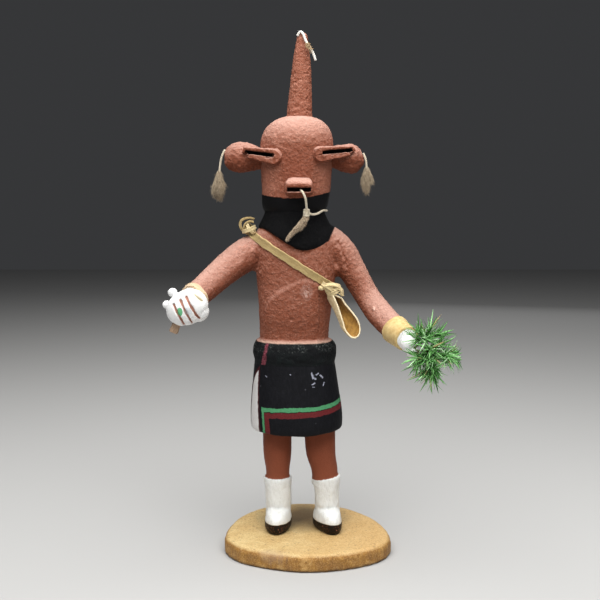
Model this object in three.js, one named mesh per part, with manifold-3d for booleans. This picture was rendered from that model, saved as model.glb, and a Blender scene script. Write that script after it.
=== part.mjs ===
// A carved and painted kachina doll of the mudhead kind, standing on an oval wooden slab.
// Millimetres, +Z up, the doll faces -Y. The origin is on the underside of the slab, at its middle.
// "Right" and "left" are the doll's own: its right hand is at -X and its left hand at +X.

import * as THREE from 'three';
import { mergeVertices } from 'three/addons/utils/BufferGeometryUtils.js';
import Module from 'manifold-3d';

const wasm = await Module();
wasm.setup();

// ---- Driving dimensions -------------------------------------------------------------------

const GAP = 0.3; // clearance between pieces that touch

const SLAB_TOP = 9.6; // height of the slab's flat top
const SLAB_WALL = 6.6; // height of its upright wall, below the rounded upper edge
const SLAB_EDGE = 3.6; // how far in the rounded upper edge reaches
const SLAB_FOOT = 0.6; // small chamfer round the underside

const FOOT_BOTTOM = SLAB_TOP + GAP;
const SOLE_TOP = 15; // dark sole below the white moccasin
const BOOT_TOP = 40.5;
const LEG_TOP = 76; // the legs end inside the kilt
const HEM = 70; // lower edge of the kilt
const BELT_BOTTOM = 108.5;
const BELT_TOP = 121.4;
const SHOULDER = 188; // top of the trunk, under the scarf
const SCARF_TOP = 193.6;
const SCARF_TIP = 172.6; // lowest point of the scarf's front drop
const SCARF_SIDE = 184.5; // hem of the scarf at the sides
const SCARF_TURN = 0.27; // the point hangs this far, in radians, to the left of the middle
const HEAD_BOTTOM = 193.6;
const HEAD_TOP = 247.4;
const CROWN_TOP = 293.4; // tip of the tall crown cone, the doll's full height

const HEAD_WIDTH = 41;
const HEAD_DEPTH = 41;
const KNOB_Z = 224.2; // height of the middle of the two side knobs
const EYE_HEIGHT = 8.2; // eye bars, upper edge to lower edge
const EYE_SLIT = 2.1; // height of the open slit in an eye bar
const EYE_SLIT_DEPTH = 3.2;
const MOUTH_WIDTH = 14.4;
const MOUTH_SLOT = 2.6;
const MOUTH_SLOT_DEPTH = 3.4;

const STRAP_WIDTH = 4.3; // leather bandolier
const STRAP_THICKNESS = 0.8;
const STRAP_SLOPE = 33; // degrees below level, from the right shoulder to the left hip
const POUCH_WIDTH = 7.4; // the folded strip that hangs from the bandolier's side knot
const POUCH_THICKNESS = 0.9;
const CUFF_THICKNESS = 0.9;
const STRING_RADIUS = 0.6; // cotton string
const GROOVE_WIDTH = 1.5; // saw cuts between the fingers
const GROOVE_DEPTH = 1.2;

const ROUND = 26; // segments round the trunk and head
const LIMB = 12; // segments round arms and legs
const THIN = 6; // segments round a string

// ---- Geometry helpers ---------------------------------------------------------------------

const v = (x, y, z) => new THREE.Vector3(x, y, z);

// A closed geometry as a solid that can be joined and cut.
function solid(geometry) {
  const bare = geometry.index ? geometry.toNonIndexed() : geometry.clone();
  bare.deleteAttribute('normal');
  bare.deleteAttribute('uv');
  const merged = mergeVertices(bare, 1e-4);
  return new wasm.Manifold(new wasm.Mesh({
    numProp: 3,
    vertProperties: new Float32Array(merged.attributes.position.array),
    triVerts: new Uint32Array(merged.index.array),
  }));
}

// A solid back as a geometry.
function geometryOf(body) {
  const mesh = body.getMesh();
  const geometry = new THREE.BufferGeometry();
  geometry.setAttribute('position', new THREE.BufferAttribute(new Float32Array(mesh.vertProperties), 3));
  geometry.setIndex(new THREE.BufferAttribute(new Uint32Array(mesh.triVerts), 1));
  const flat = geometry.toNonIndexed();
  flat.computeVertexNormals();
  return flat;
}

function join(...bodies) {
  return bodies.reduce((whole, body) => whole.add(body));
}

function cut(body, ...tools) {
  return tools.reduce((whole, tool) => whole.subtract(tool), body);
}

// A skin over rings of equally many points, closed by a fan at each end.
function skin(rings) {
  const points = [];
  const corner = [];
  const put = (p) => points.push(p.x, p.y, p.z) / 3 - 1;
  for (const ring of rings) {
    corner.push(ring.map(put));
  }
  const middle = (ring) => put(ring.reduce((sum, p) => sum.add(p), v(0, 0, 0)).divideScalar(ring.length));
  const first = middle(rings[0]);
  const last = middle(rings[rings.length - 1]);
  const faces = [];
  const count = rings[0].length;
  for (let j = 0; j < count; j += 1) {
    const k = (j + 1) % count;
    for (let i = 0; i + 1 < rings.length; i += 1) {
      faces.push(corner[i][j], corner[i][k], corner[i + 1][k]);
      faces.push(corner[i][j], corner[i + 1][k], corner[i + 1][j]);
    }
    faces.push(first, corner[0][k], corner[0][j]);
    faces.push(last, corner[rings.length - 1][j], corner[rings.length - 1][k]);
  }
  const geometry = new THREE.BufferGeometry();
  geometry.setAttribute('position', new THREE.Float32BufferAttribute(points, 3));
  geometry.setIndex(faces);
  return geometry;
}

// One ring: a superellipse of half sizes a and b on the axes u and w; power 2 is an ellipse.
function ring(middle, u, w, a, b, power, count) {
  const points = [];
  for (let j = 0; j < count; j += 1) {
    const turn = (2 * Math.PI * j) / count;
    const c = Math.cos(turn);
    const s = Math.sin(turn);
    const along = Math.sign(c) * Math.abs(c) ** (2 / power) * a;
    const across = Math.sign(s) * Math.abs(s) ** (2 / power) * b;
    points.push(middle.clone().addScaledVector(u, along).addScaledVector(w, across));
  }
  return points;
}

// Values between rows of a table, on a smooth curve through them.
function between(rows, t) {
  const place = Math.min(Math.max(t, 0), 1) * (rows.length - 1);
  const i = Math.min(Math.floor(place), rows.length - 2);
  const f = place - i;
  const row = (k) => rows[Math.min(Math.max(k, 0), rows.length - 1)];
  return row(i).map((p1, n) => {
    const p0 = row(i - 1)[n];
    const p2 = row(i + 1)[n];
    const p3 = row(i + 2)[n];
    const straight = 2 * p1 + (p2 - p0) * f;
    const bent = (2 * p0 - 5 * p1 + 4 * p2 - p3) * f * f;
    const twist = (3 * p1 - p0 - 3 * p2 + p3) * f * f * f;
    return 0.5 * (straight + bent + twist);
  });
}

// An upright form through levels [z, middle x, middle y, half width, half depth].
function stack(levels, { grow = 0, power = 2.2, steps = 12, count = ROUND } = {}) {
  const rings = [];
  for (let i = 0; i <= steps; i += 1) {
    const [z, x, y, a, b] = between(levels, i / steps);
    const rise = i === 0 ? -grow : (i === steps ? grow : 0);
    rings.push(ring(v(x, y, z + rise), v(1, 0, 0), v(0, 1, 0), a + grow, b + grow, power, count));
  }
  return solid(skin(rings));
}

// A rounded limb along points [x, y, z, half width, half depth]. "Width" is seen from the front.
function limb(points, { grow = 0, power = 2, steps = 10, count = LIMB } = {}) {
  const at = (t) => {
    const [x, y, z, a, b] = between(points, t);
    return { place: v(x, y, z), a, b };
  };
  const rings = [];
  for (let i = 0; i <= steps; i += 1) {
    const t = i / steps;
    const here = at(t);
    const ahead = at(Math.min(t + 0.02, 1)).place;
    const behind = at(Math.max(t - 0.02, 0)).place;
    const forward = ahead.sub(behind).normalize();
    const u = v(0, 1, 0).cross(forward).normalize();
    const w = forward.clone().cross(u);
    const end = i === 0 ? -grow : (i === steps ? grow : 0);
    const middle = here.place.addScaledVector(forward, end);
    rings.push(ring(middle, u, w, here.a + grow, here.b + grow, power, count));
  }
  return solid(skin(rings));
}

// An egg of half sizes a, b and c, turned by degrees about X, then Y, then Z.
function egg(place, [a, b, c], [turnX, turnY, turnZ] = [0, 0, 0], detail = 14) {
  const ball = new THREE.SphereGeometry(1, detail, Math.round(detail * 0.7));
  ball.scale(a, b, c);
  ball.rotateX(THREE.MathUtils.degToRad(turnX));
  ball.rotateY(THREE.MathUtils.degToRad(turnY));
  ball.rotateZ(THREE.MathUtils.degToRad(turnZ));
  ball.translate(place.x, place.y, place.z);
  return solid(ball);
}

// A block with its middle at a place, turned by degrees about Y and then about Z.
function block(place, [width, depth, height], turnY = 0, turnZ = 0) {
  const box = new THREE.BoxGeometry(width, depth, height);
  box.rotateY(THREE.MathUtils.degToRad(turnY));
  box.rotateZ(THREE.MathUtils.degToRad(turnZ));
  box.translate(place.x, place.y, place.z);
  return solid(box);
}

// A string along a smooth curve through hand-chosen points.
function string(points, radius = STRING_RADIUS, steps = 3 * points.length) {
  const path = new THREE.CatmullRomCurve3(points);
  const section = new THREE.Shape();
  section.absarc(0, 0, radius, 0, 2 * Math.PI);
  const tube = new THREE.ExtrudeGeometry(section, {
    steps, curveSegments: THIN / 2, bevelEnabled: false, extrudePath: path,
  });
  return solid(tube);
}

// ---- The slab -----------------------------------------------------------------------------

// The sawn outline of the slab: fuller in front, narrower behind.
const SLAB_OUTLINE = new THREE.CatmullRomCurve3([
  v(47.4, -16.5, 0), v(46.6, 0, 0), v(42, 15.5, 0), v(33, 30, 0), v(20, 41.5, 0), v(4, 47, 0),
  v(-11, 46.6, 0), v(-27, 39.5, 0), v(-39, 25.5, 0), v(-46, 6, 0), v(-46.9, -15.5, 0),
  v(-39, -29.6, 0), v(-25, -38.4, 0), v(-6, -44.3, 0), v(8, -44.3, 0), v(27, -38.6, 0),
  v(40.6, -29.4, 0),
], true);

function slab() {
  const level = (z, inset) => SLAB_OUTLINE.getSpacedPoints(38).slice(0, -1).map((p) => {
    const reach = Math.hypot(p.x, p.y);
    return v(p.x, p.y, 0).multiplyScalar((reach - inset) / reach).setZ(z);
  });
  const rings = [level(0, SLAB_FOOT), level(SLAB_FOOT, 0)];
  const curveSteps = 3;
  for (let i = 0; i <= curveSteps; i += 1) {
    const turn = (Math.PI / 2) * (i / curveSteps);
    const z = SLAB_WALL + (SLAB_TOP - SLAB_WALL) * Math.sin(turn);
    rings.push(level(z, SLAB_EDGE * (1 - Math.cos(turn))));
  }
  return solid(skin(rings));
}

// ---- The root carving: head, scarf, trunk, belt, kilt, legs and moccasins --------------------

function head(grow = 0) {
  const a = HEAD_WIDTH / 2;
  const b = HEAD_DEPTH / 2;
  const levels = [
    [HEAD_BOTTOM, -7.4, 0.5, a - 4.4, b - 4.4],
    [HEAD_BOTTOM + 2, -7.2, 0.3, a - 2.7, b - 2.9],
    [HEAD_BOTTOM + 8, -6.7, 0, a - 1.5, b - 1.7],
    [HEAD_BOTTOM + 18, -6.3, 0, a - 0.9, b - 0.9],
    [HEAD_BOTTOM + 30, -6.1, 0, a - 0.1, b - 0.1],
  ];
  const domeFoot = HEAD_TOP - 19;
  const domeSteps = 6;
  for (let i = 1; i <= domeSteps; i += 1) {
    const t = Math.sin((Math.PI / 2) * (i / (domeSteps + 0.35)));
    const width = (1 - t ** 2.6) ** (1 / 2.6);
    levels.push([domeFoot + t * (HEAD_TOP - domeFoot), -6 + 0.7 * t, 0, a * width, b * width]);
  }
  return stack(levels, { grow, power: 2.15, steps: levels.length - 1 });
}

// The neck scarf, a collar whose hem drops to a blunt point in front.
function scarf(grow = 0) {
  const middle = v(-6.6, 0.5, 0);
  const hem = (turn) => {
    const front = Math.max(0, -Math.sin(turn - SCARF_TURN));
    return SCARF_SIDE - (SCARF_SIDE - SCARF_TIP) * front ** 2.4;
  };
  const flare = [[0, 17.4, 17.2], [0.35, 18.9, 18.2], [0.85, 21.2, 20], [1, 20.2, 19]];
  const rings = flare.map(([down, a, b], i) => {
    const outer = ring(middle, v(1, 0, 0), v(0, 1, 0), a + grow, b + grow, 2.1, ROUND);
    return outer.map((p, j) => {
      const bottom = hem((2 * Math.PI * j) / ROUND);
      const z = SCARF_TOP - down * (SCARF_TOP - bottom);
      const ends = i === 0 ? grow : (i === flare.length - 1 ? -grow : 0);
      return p.setZ(z + ends);
    });
  });
  return solid(skin(rings.reverse()));
}

function trunk(grow = 0) {
  return stack([
    [BELT_TOP - 4, -7.6, 1, 19.4, 14.8],
    [BELT_TOP + 8, -7.4, 0.6, 19.9, 15.6],
    [BELT_TOP + 20, -6.9, 0.2, 21, 16.8],
    [BELT_TOP + 33, -6.5, 0.2, 22.2, 17.4],
    [BELT_TOP + 45, -6.6, 0.4, 23.6, 17.8],
    [BELT_TOP + 55, -6.7, 0.6, 24.2, 17.4],
    [BELT_TOP + 62, -6.7, 0.6, 22, 16],
    [SHOULDER, -6.7, 0.6, 16.5, 13],
  ], { grow, power: 2.35, steps: 7 });
}

function belt(grow = 0) {
  const x = -7.2;
  return stack([
    [BELT_BOTTOM - 1, x, 1, 22.4, 17.2],
    [BELT_BOTTOM + 1.4, x, 1, 23.4, 18.4],
    [BELT_BOTTOM + 6, x, 1, 23.9, 18.8],
    [BELT_TOP - 3.6, x, 1, 23.5, 18.4],
    [BELT_TOP - 1, x - 0.2, 1, 22, 17.2],
    [BELT_TOP, x - 0.4, 1, 20.2, 15.8],
  ], { grow, power: 2.3, steps: 5 });
}

function kilt(grow = 0) {
  return stack([
    [HEM, -6.1, 1, 25.2, 20.4],
    [HEM + 2.2, -6.1, 1, 26.4, 21.6],
    [HEM + 12, -6.3, 1, 26.2, 21.4],
    [HEM + 26, -7, 1, 24.6, 19.6],
    [BELT_BOTTOM + 2, -7.4, 1, 23, 17.8],
  ], { grow, power: 2.3, steps: 4 });
}

const LEGS = [
  { top: [-17.4, 1.5, 8.5, 9.2], knee: [-17.4, 1.5, 8.2, 8.8], ankle: [-17.2, 1.8, 6.9, 7.4] },
  { top: [7.4, 1.5, 9, 9.4], knee: [8.3, 1.5, 8.3, 8.8], ankle: [10.4, 1.8, 7.2, 7.6] },
];

function leg({ top, knee, ankle }) {
  return stack([
    [BOOT_TOP - 5, ...ankle],
    [BOOT_TOP + 3, ...ankle],
    [(BOOT_TOP + HEM) / 2, ...knee],
    [LEG_TOP, ...top],
  ], { power: 2.1, steps: 3, count: LIMB });
}

// A moccasin: an upright shaft, and a foot that narrows to a round toe on a dark sole.
const BOOTS = [
  { x: -16.8, shaft: 8.1, ankle: 7.5, toe: [-17.9, -14.6], tilt: 0.02 },
  { x: 11.4, shaft: 7.9, ankle: 7.4, toe: [14.4, -14.6], tilt: -0.17 },
];
const HEEL = 10.5;

function boot({ x, shaft, ankle, toe, tilt }) {
  const count = 14;
  const upright = stack([
    [FOOT_BOTTOM + 4, x + (toe[0] - x) * 0.3, 2.4, 7.4, 7.8],
    [FOOT_BOTTOM + 14, x, 2, ankle, 7.6],
    [BOOT_TOP - 8, x - 0.2, 1.8, ankle + 0.1, 7.8],
    [BOOT_TOP - 1, x - 0.4, 1.8, shaft, 8.4],
    [BOOT_TOP, x - 0.4, 1.8, shaft - 0.4, 8],
  ], { power: 2.3, steps: 4, count });
  const footLevel = (z, inset, lift) => {
    const points = [];
    for (let j = 0; j < count; j += 1) {
      const turn = (2 * Math.PI * j) / count;
      const along = Math.sin(turn);
      const y = along < 0 ? -along * (toe[1] + inset) : along * (HEEL - inset);
      const lean = (y / toe[1]) * (toe[0] - x);
      const half = (7.9 - inset) * (1 + 0.06 * along);
      const dip = lift * Math.max(0, -along) ** 2;
      points.push(v(x + lean + half * Math.cos(turn), y, z - dip));
    }
    return points;
  };
  const foot = solid(skin([
    footLevel(FOOT_BOTTOM, 1.6, 0),
    footLevel(FOOT_BOTTOM + 1.4, 0.4, 0),
    footLevel(SOLE_TOP, 0, 0),
    footLevel(SOLE_TOP + 3.4, 0.5, 0.6),
    footLevel(SOLE_TOP + 7, 2, 2.6),
    footLevel(SOLE_TOP + 9.6, 4.2, 4.4),
  ]));
  const slope = new THREE.BoxGeometry(30, 30, 10);
  slope.rotateY(tilt);
  slope.translate(x, 0, BOOT_TOP + 4.6);
  return join(cut(upright, solid(slope)), foot);
}

// ---- What is fixed on the head -----------------------------------------------------------------

// The crown cone is a rough, slightly bent stick with a blunt tip.
function crown(grow = 0) {
  return stack([
    [HEAD_TOP - 3, -4.8, 0, 8, 8],
    [HEAD_TOP + 3, -4.6, 0, 7.4, 7.4],
    [HEAD_TOP + 13, -3.9, 0.3, 6.6, 6.5],
    [HEAD_TOP + 24, -3.4, 0.6, 5.6, 5.5],
    [HEAD_TOP + 35, -3.2, 0.8, 4.3, 4.2],
    [CROWN_TOP - 3, -2.9, 1, 3, 3],
    [CROWN_TOP - 0.8, -2.9, 1, 2.2, 2.2],
    [CROWN_TOP, -2.9, 1, 1, 1],
  ], { grow, power: 2, steps: 7, count: 12 });
}

// A side knob is a pear lying on its side: [x, y, z, half width, half depth] from the head outwards.
const KNOBS = {
  right: [
    [-22, -1, KNOB_Z - 0.6, 5.6, 5.6], [-27, -1.4, KNOB_Z - 0.4, 6.2, 6.2],
    [-33, -2, KNOB_Z, 8, 8], [-38.5, -2.4, KNOB_Z, 8.6, 8.5], [-42.8, -2.6, KNOB_Z, 7.2, 7.2],
    [-45.8, -2.8, KNOB_Z + 0.2, 4.4, 4.4], [-46.8, -2.8, KNOB_Z + 0.2, 1.4, 1.4],
  ],
  left: [
    [10, -1, KNOB_Z + 0.6, 6, 6], [15, -1.4, KNOB_Z + 0.4, 6.3, 6.3],
    [20, -2, KNOB_Z - 0.2, 7.6, 7.8], [24.6, -2.4, KNOB_Z - 0.6, 8.2, 8.2],
    [28.2, -2.6, KNOB_Z - 0.4, 6.9, 7], [30.5, -2.8, KNOB_Z - 0.2, 4.2, 4.2],
    [31.3, -2.8, KNOB_Z, 1.4, 1.4],
  ],
};

function knob(side, grow = 0) {
  return limb(KNOBS[side], { grow, steps: 6, count: LIMB });
}

// An eye is an applied wooden bar with a round inner end and an open slit. It starts on the face,
// leaves the side of the head at a tangent and rises a little along the front of the knob.
const EYES = {
  right: { inner: v(-15.4, -22, 223), outer: v(-36.6, -12.4, 226.2), bend: 3.4, fall: 0.6 },
  left: { inner: v(4.8, -22, 224.6), outer: v(26.8, -12, 227.2), bend: 1.8, fall: 1.2 },
};

function eye(side) {
  const { inner, outer, bend, fall } = EYES[side];
  const flip = side === 'right' ? -1 : 1; // keeps the bar's frame right-handed on both sides
  const run = outer.clone().sub(inner);
  const length = run.length();
  const half = EYE_HEIGHT / 2;
  // The bar's face, drawn from its inner end; its height narrows towards the outer end.
  const face = new THREE.Shape();
  face.moveTo(bend, -half * flip);
  face.lineTo(length - 3.5, (2 - half) * flip);
  face.lineTo(length - 3.1, -0.4 * flip);
  face.lineTo(length, -0.2 * flip);
  face.lineTo(length - 0.8, (half - fall) * flip);
  face.lineTo(bend, half * flip);
  face.quadraticCurveTo(0, half * flip, 0, (half - bend) * flip);
  face.lineTo(0, (bend - half) * flip);
  face.quadraticCurveTo(0, -half * flip, bend, -half * flip);
  const depth = 12;
  const bar = new THREE.ExtrudeGeometry(face, { depth, bevelEnabled: false, curveSegments: 4 });
  const slit = new THREE.BoxGeometry(length - 5.6, EYE_SLIT, 2 * EYE_SLIT_DEPTH);
  slit.translate(length / 2 + 0.8, 0.9 * flip, depth);
  // Stand the bar up: its length follows the run and its face looks outwards.
  const along = run.normalize();
  const out = v(along.y, -along.x, 0).normalize().multiplyScalar(flip);
  const up = out.clone().cross(along);
  const frame = new THREE.Matrix4().makeBasis(along, up, out);
  frame.setPosition(inner.clone().addScaledVector(out, -depth));
  const body = cut(solid(bar), solid(slit));
  return cut(solid(geometryOf(body).applyMatrix4(frame)), head(GAP), knob(side, GAP));
}

// The mouth is a short spout with a round upper lip, a wide slot and a thin lower lip.
const MOUTH = { x: -4.8, front: -27.2, top: 211.8, lip: 207.2, bottom: 202.8 };

function mouth() {
  const half = MOUTH_WIDTH / 2;
  const height = MOUTH.top - MOUTH.bottom;
  const back = 12;
  const plan = new THREE.Shape();
  plan.moveTo(-half, back);
  plan.lineTo(-half, 1.8);
  plan.quadraticCurveTo(-half, 0.3, 1.8 - half, 0);
  plan.lineTo(half - 1.8, 0);
  plan.quadraticCurveTo(half, 0.3, half, 1.8);
  plan.lineTo(half, back);
  plan.closePath();
  const spout = new THREE.ExtrudeGeometry(plan, { depth: height, bevelEnabled: false, curveSegments: 4 });
  spout.translate(MOUTH.x, MOUTH.front, MOUTH.bottom);
  // Its side view: the upper lip falls in a round to the front, the lower lip stands back a little.
  const side = new THREE.Shape();
  side.moveTo(back, 0);
  side.lineTo(back, height);
  side.lineTo(5.6, height);
  side.quadraticCurveTo(1, height - 0.4, 0, MOUTH.lip - MOUTH.bottom);
  side.lineTo(0.6, 1.4);
  side.lineTo(2.6, 0);
  const profile = new THREE.ExtrudeGeometry(side, { depth: 20, bevelEnabled: false, curveSegments: 5 });
  const upright = new THREE.Matrix4().makeBasis(v(0, 1, 0), v(0, 0, 1), v(1, 0, 0));
  upright.setPosition(v(MOUTH.x - 10, MOUTH.front, MOUTH.bottom));
  profile.applyMatrix4(upright);
  // Its front view: the ends of both lips are rounded.
  const front = new THREE.Shape();
  front.moveTo(-half, 3);
  front.quadraticCurveTo(-half, 0, 2.4 - half, 0);
  front.lineTo(half - 2.4, 0);
  front.quadraticCurveTo(half, 0, half, 3);
  front.lineTo(half, height - 3.4);
  front.quadraticCurveTo(half, height, half - 3.6, height);
  front.lineTo(3.6 - half, height);
  front.quadraticCurveTo(-half, height, -half, height - 3.4);
  const face = new THREE.ExtrudeGeometry(front, { depth: 20, bevelEnabled: false, curveSegments: 4 });
  face.rotateX(Math.PI / 2);
  face.translate(MOUTH.x, MOUTH.front + 19, MOUTH.bottom);
  const slotAt = v(MOUTH.x, MOUTH.front, MOUTH.lip - MOUTH_SLOT / 2);
  const slot = block(slotAt, [MOUTH_WIDTH - 1.4, 2 * MOUTH_SLOT_DEPTH, MOUTH_SLOT]);
  return cut(solid(spout).intersect(solid(profile)).intersect(solid(face)), slot, head(GAP));
}

// ---- Arms ---------------------------------------------------------------------------------------

// Each arm is glued on at the shoulder. Points are [x, y, z, half width, half depth].
const ARMS = {
  right: [
    [-20, 0.6, 172.5, 11.4, 10.8], [-33, -1.8, 170, 10.6, 10.4], [-46.5, -10, 160.4, 8.9, 9.2],
    [-57.6, -22, 150.6, 7, 7.8], [-62.4, -28.5, 146.6, 6, 6.6],
  ],
  left: [
    [8, 0.6, 178, 10.4, 10.8], [17.4, 0, 172.6, 9.6, 10.2], [25.8, -2, 160, 8.6, 9.2],
    [33.6, -6.4, 146.6, 8.1, 8.2], [40.4, -15, 137.4, 7.4, 7.6], [47.2, -26, 132, 6.3, 6.6],
    [52.8, -37, 127.4, 5.8, 6],
  ],
};

function armStem(side, grow = 0) {
  return limb(ARMS[side], { grow, power: 2.1, steps: side === 'left' ? 9 : 6 });
}

// The closed right fist, with saw cuts between the fingers and two knuckles standing out behind.
const FIST = v(-64.4, -35.6, 143.2);
const FIST_SIZE = [11.6, 8.2, 9.4];
const FIST_TURN = 24; // the row of fingers rises towards the wrist

function fist(grow = 0) {
  const size = FIST_SIZE.map((half) => half + grow);
  const hand = egg(FIST, size, [0, -FIST_TURN, 8], 14);
  const heel = egg(v(-57.6, -34, 142.8), [5.2 + grow, 6.4 + grow, 6.4 + grow], [0, 0, 0], 9);
  const upperKnuckle = egg(v(-72.4, -33, 151), [2.6 + grow, 2.8 + grow, 2.5 + grow], [0, 0, 0], 7);
  const lowerKnuckle = egg(v(-75.6, -33.5, 144.4), [2.4 + grow, 2.8 + grow, 2.3 + grow], [0, 0, 0], 7);
  return join(hand, heel, upperKnuckle, lowerKnuckle);
}

// The saw cuts between the fingers keep one depth all over the round of the fist.
function grooves() {
  const turn = THREE.MathUtils.degToRad(FIST_TURN);
  const across = v(Math.cos(turn), 0, Math.sin(turn));
  const core = egg(FIST, FIST_SIZE.map((half) => half - GROOVE_DEPTH), [0, -FIST_TURN, 8], 9);
  const cuts = [-5.8, -0.8, 4.2].map((offset) => {
    const place = FIST.clone().addScaledVector(across, offset);
    return block(place.setY(FIST.y - 7.5), [GROOVE_WIDTH, 12, 17], -FIST_TURN);
  });
  return cut(join(...cuts), core);
}

// The left hand, a small mitten closed on the spruce.
const PALM = v(53.6, -42.5, 126.4);

function mitten(grow = 0) {
  const palm = egg(PALM, [4.6 + grow, 6 + grow, 5.2 + grow], [20, 20, 0], 10);
  const fingers = egg(v(54.6, -45.5, 121.6), [3.4 + grow, 4.4 + grow, 3.4 + grow], [0, 0, 0], 8);
  return join(palm, fingers);
}

// The stub of a stick, held in the right fist, that shows below it.
function heldStick() {
  const stub = limb([[-68.6, -34.4, 138.4, 2.3, 2.3], [-70.4, -34, 134, 2.4, 2.4], [-72.2, -33.6, 129.6, 2.5, 2.5]], {
    steps: 2, count: 10,
  });
  return cut(stub, fist(GAP));
}

// ---- Leather --------------------------------------------------------------------------------------

function shellOf(form, inner, outer) {
  return cut(form(outer), form(inner));
}

// A cuff is a band round the wrist, between two planes square to the arm.
function cuff(side, from, to) {
  const rows = ARMS[side];
  const [x0, y0, z0] = between(rows, from);
  const [x1, y1, z1] = between(rows, to);
  const run = v(x1 - x0, y1 - y0, z1 - z0);
  const slice = new THREE.CylinderGeometry(14, 14, run.length(), 8);
  slice.applyQuaternion(new THREE.Quaternion().setFromUnitVectors(v(0, 1, 0), run.clone().normalize()));
  slice.translate((x0 + x1) / 2, (y0 + y1) / 2, (z0 + z1) / 2);
  const band = shellOf((grow) => armStem(side, grow), GAP, GAP + CUFF_THICKNESS);
  return band.intersect(solid(slice));
}

// The bandolier goes round the trunk in one tilted plane, over the right shoulder, and is knotted
// on the shoulder and at the left side.
const STRAP_MIDDLE = v(-10, 0, 167.4);
const SIDE_KNOT = v(13, -15.6, 151.4);

function strap() {
  const form = (grow) => join(trunk(grow), armStem('right', grow));
  const slice = block(STRAP_MIDDLE, [90, 60, STRAP_WIDTH], STRAP_SLOPE);
  return shellOf(form, GAP, GAP + STRAP_THICKNESS).intersect(slice);
}

function shoulderKnot() {
  const lump = egg(v(-34.9, -3.8, 184.4), [3, 3.4, 4.4], [0, -24, 0], 8);
  const loop = egg(v(-37.6, -3.4, 188.8), [1.8, 2, 2.4], [0, 0, 0], 7);
  const tail = block(v(-33.8, -3.6, 190.2), [8.6, 2.6, 1.3], -8, 10);
  return join(lump, loop, tail);
}

function sideKnotWrap(grow = 0) {
  return egg(SIDE_KNOT, [4.8 + grow, 3.4 + grow, 3.4 + grow], [0, 20, 28], 9);
}

// The knot's short loose end.
function whisker(grow = 0) {
  const size = [4.4, 1.1, 1].map((side) => side + 2 * grow);
  return block(SIDE_KNOT.clone().add(v(5, 0, -3.4)), size, 36);
}

function sideKnot() {
  const wrap = sideKnotWrap();
  const nub = egg(SIDE_KNOT.clone().add(v(-5.2, -1.8, 0.8)), [1.9, 1.7, 1.5], [0, 0, 0], 6);
  return join(wrap, nub, whisker());
}

// The folded strip hangs as an open teardrop below the side knot; this is its nearer edge.
const POUCH_EDGE = new THREE.CatmullRomCurve3([
  v(13.8, -19, 148.4), v(16.1, -20, 142.3), v(18.6, -20.6, 135.2), v(20.8, -20.6, 128.4),
  v(24.8, -20, 124.4), v(28.1, -18.6, 125), v(29.2, -17, 128.8), v(28.1, -16.2, 133.8),
  v(25, -16, 138.4), v(21, -16.2, 143.2), v(18, -17, 147),
], true);

function pouch() {
  const count = 26;
  const across = v(-0.66, 0.74, 0.08).normalize().multiplyScalar(POUCH_WIDTH);
  const points = [];
  const faces = [];
  for (let i = 0; i < count; i += 1) {
    const outer = POUCH_EDGE.getPoint(i / count);
    const inwards = across.clone().cross(POUCH_EDGE.getTangent(i / count)).normalize();
    const inner = outer.clone().addScaledVector(inwards, POUCH_THICKNESS);
    for (const p of [outer, inner, inner.clone().add(across), outer.clone().add(across)]) {
      points.push(p.x, p.y, p.z);
    }
    for (let j = 0; j < 4; j += 1) {
      const next = 4 * ((i + 1) % count);
      const k = (j + 1) % 4;
      faces.push(4 * i + j, 4 * i + k, next + k, 4 * i + j, next + k, next + j);
    }
  }
  const band = new THREE.BufferGeometry();
  band.setAttribute('position', new THREE.Float32BufferAttribute(points, 3));
  band.setIndex(faces);
  return solid(band);
}

// ---- Strings and tassels ------------------------------------------------------------------------------

// A short string laid over the tip of the cone, with a frayed lower end.
function crownString() {
  const strand = string([
    v(-5.6, -1, 291.4), v(-4.1, -1.8, 293.6), v(-2.4, -3, 291.8), v(-0.9, -4, 287.8),
    v(1.4, -4.4, 283.8), v(3.1, -4.2, 281), v(4.1, -4, 278.2),
  ], STRING_RADIUS, 10);
  return join(strand, egg(v(0.9, -4.2, 284), [1.3, 1.1, 1.7], [0, 30, 0], 6));
}

// A tassel of cotton hangs by a string from the end of each knob.
const TASSELS = {
  right: {
    strand: [v(-46.4, -4.2, 228.6), v(-48.2, -4, 223.6), v(-49.2, -3.6, 219), v(-49.8, -3.4, 214)],
    tuft: [
      [-49.7, -3.4, 216, 1, 1], [-50, -3.4, 211, 2.6, 2.3], [-50.7, -3.4, 206.5, 3.9, 3.2],
      [-51, -3.4, 202.8, 4.4, 3.4], [-50.6, -3.4, 199.8, 1.6, 1.4],
    ],
  },
  left: {
    strand: [v(31.4, -4, 226), v(32.8, -4, 222), v(33.2, -3.8, 218), v(33.2, -3.6, 215)],
    tuft: [
      [33, -3.6, 217.6, 1, 1], [33.2, -3.6, 213.6, 2.5, 2.2], [33.1, -3.6, 209, 3.9, 3.2],
      [33.6, -3.6, 205.6, 3.2, 2.8], [34.2, -3.6, 203, 1.2, 1.1],
    ],
  },
};

function knobTassel(side) {
  const { strand, tuft } = TASSELS[side];
  return cut(join(string(strand, STRING_RADIUS, 6), limb(tuft, { steps: 6, count: 8 })), knob(side, GAP));
}

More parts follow.
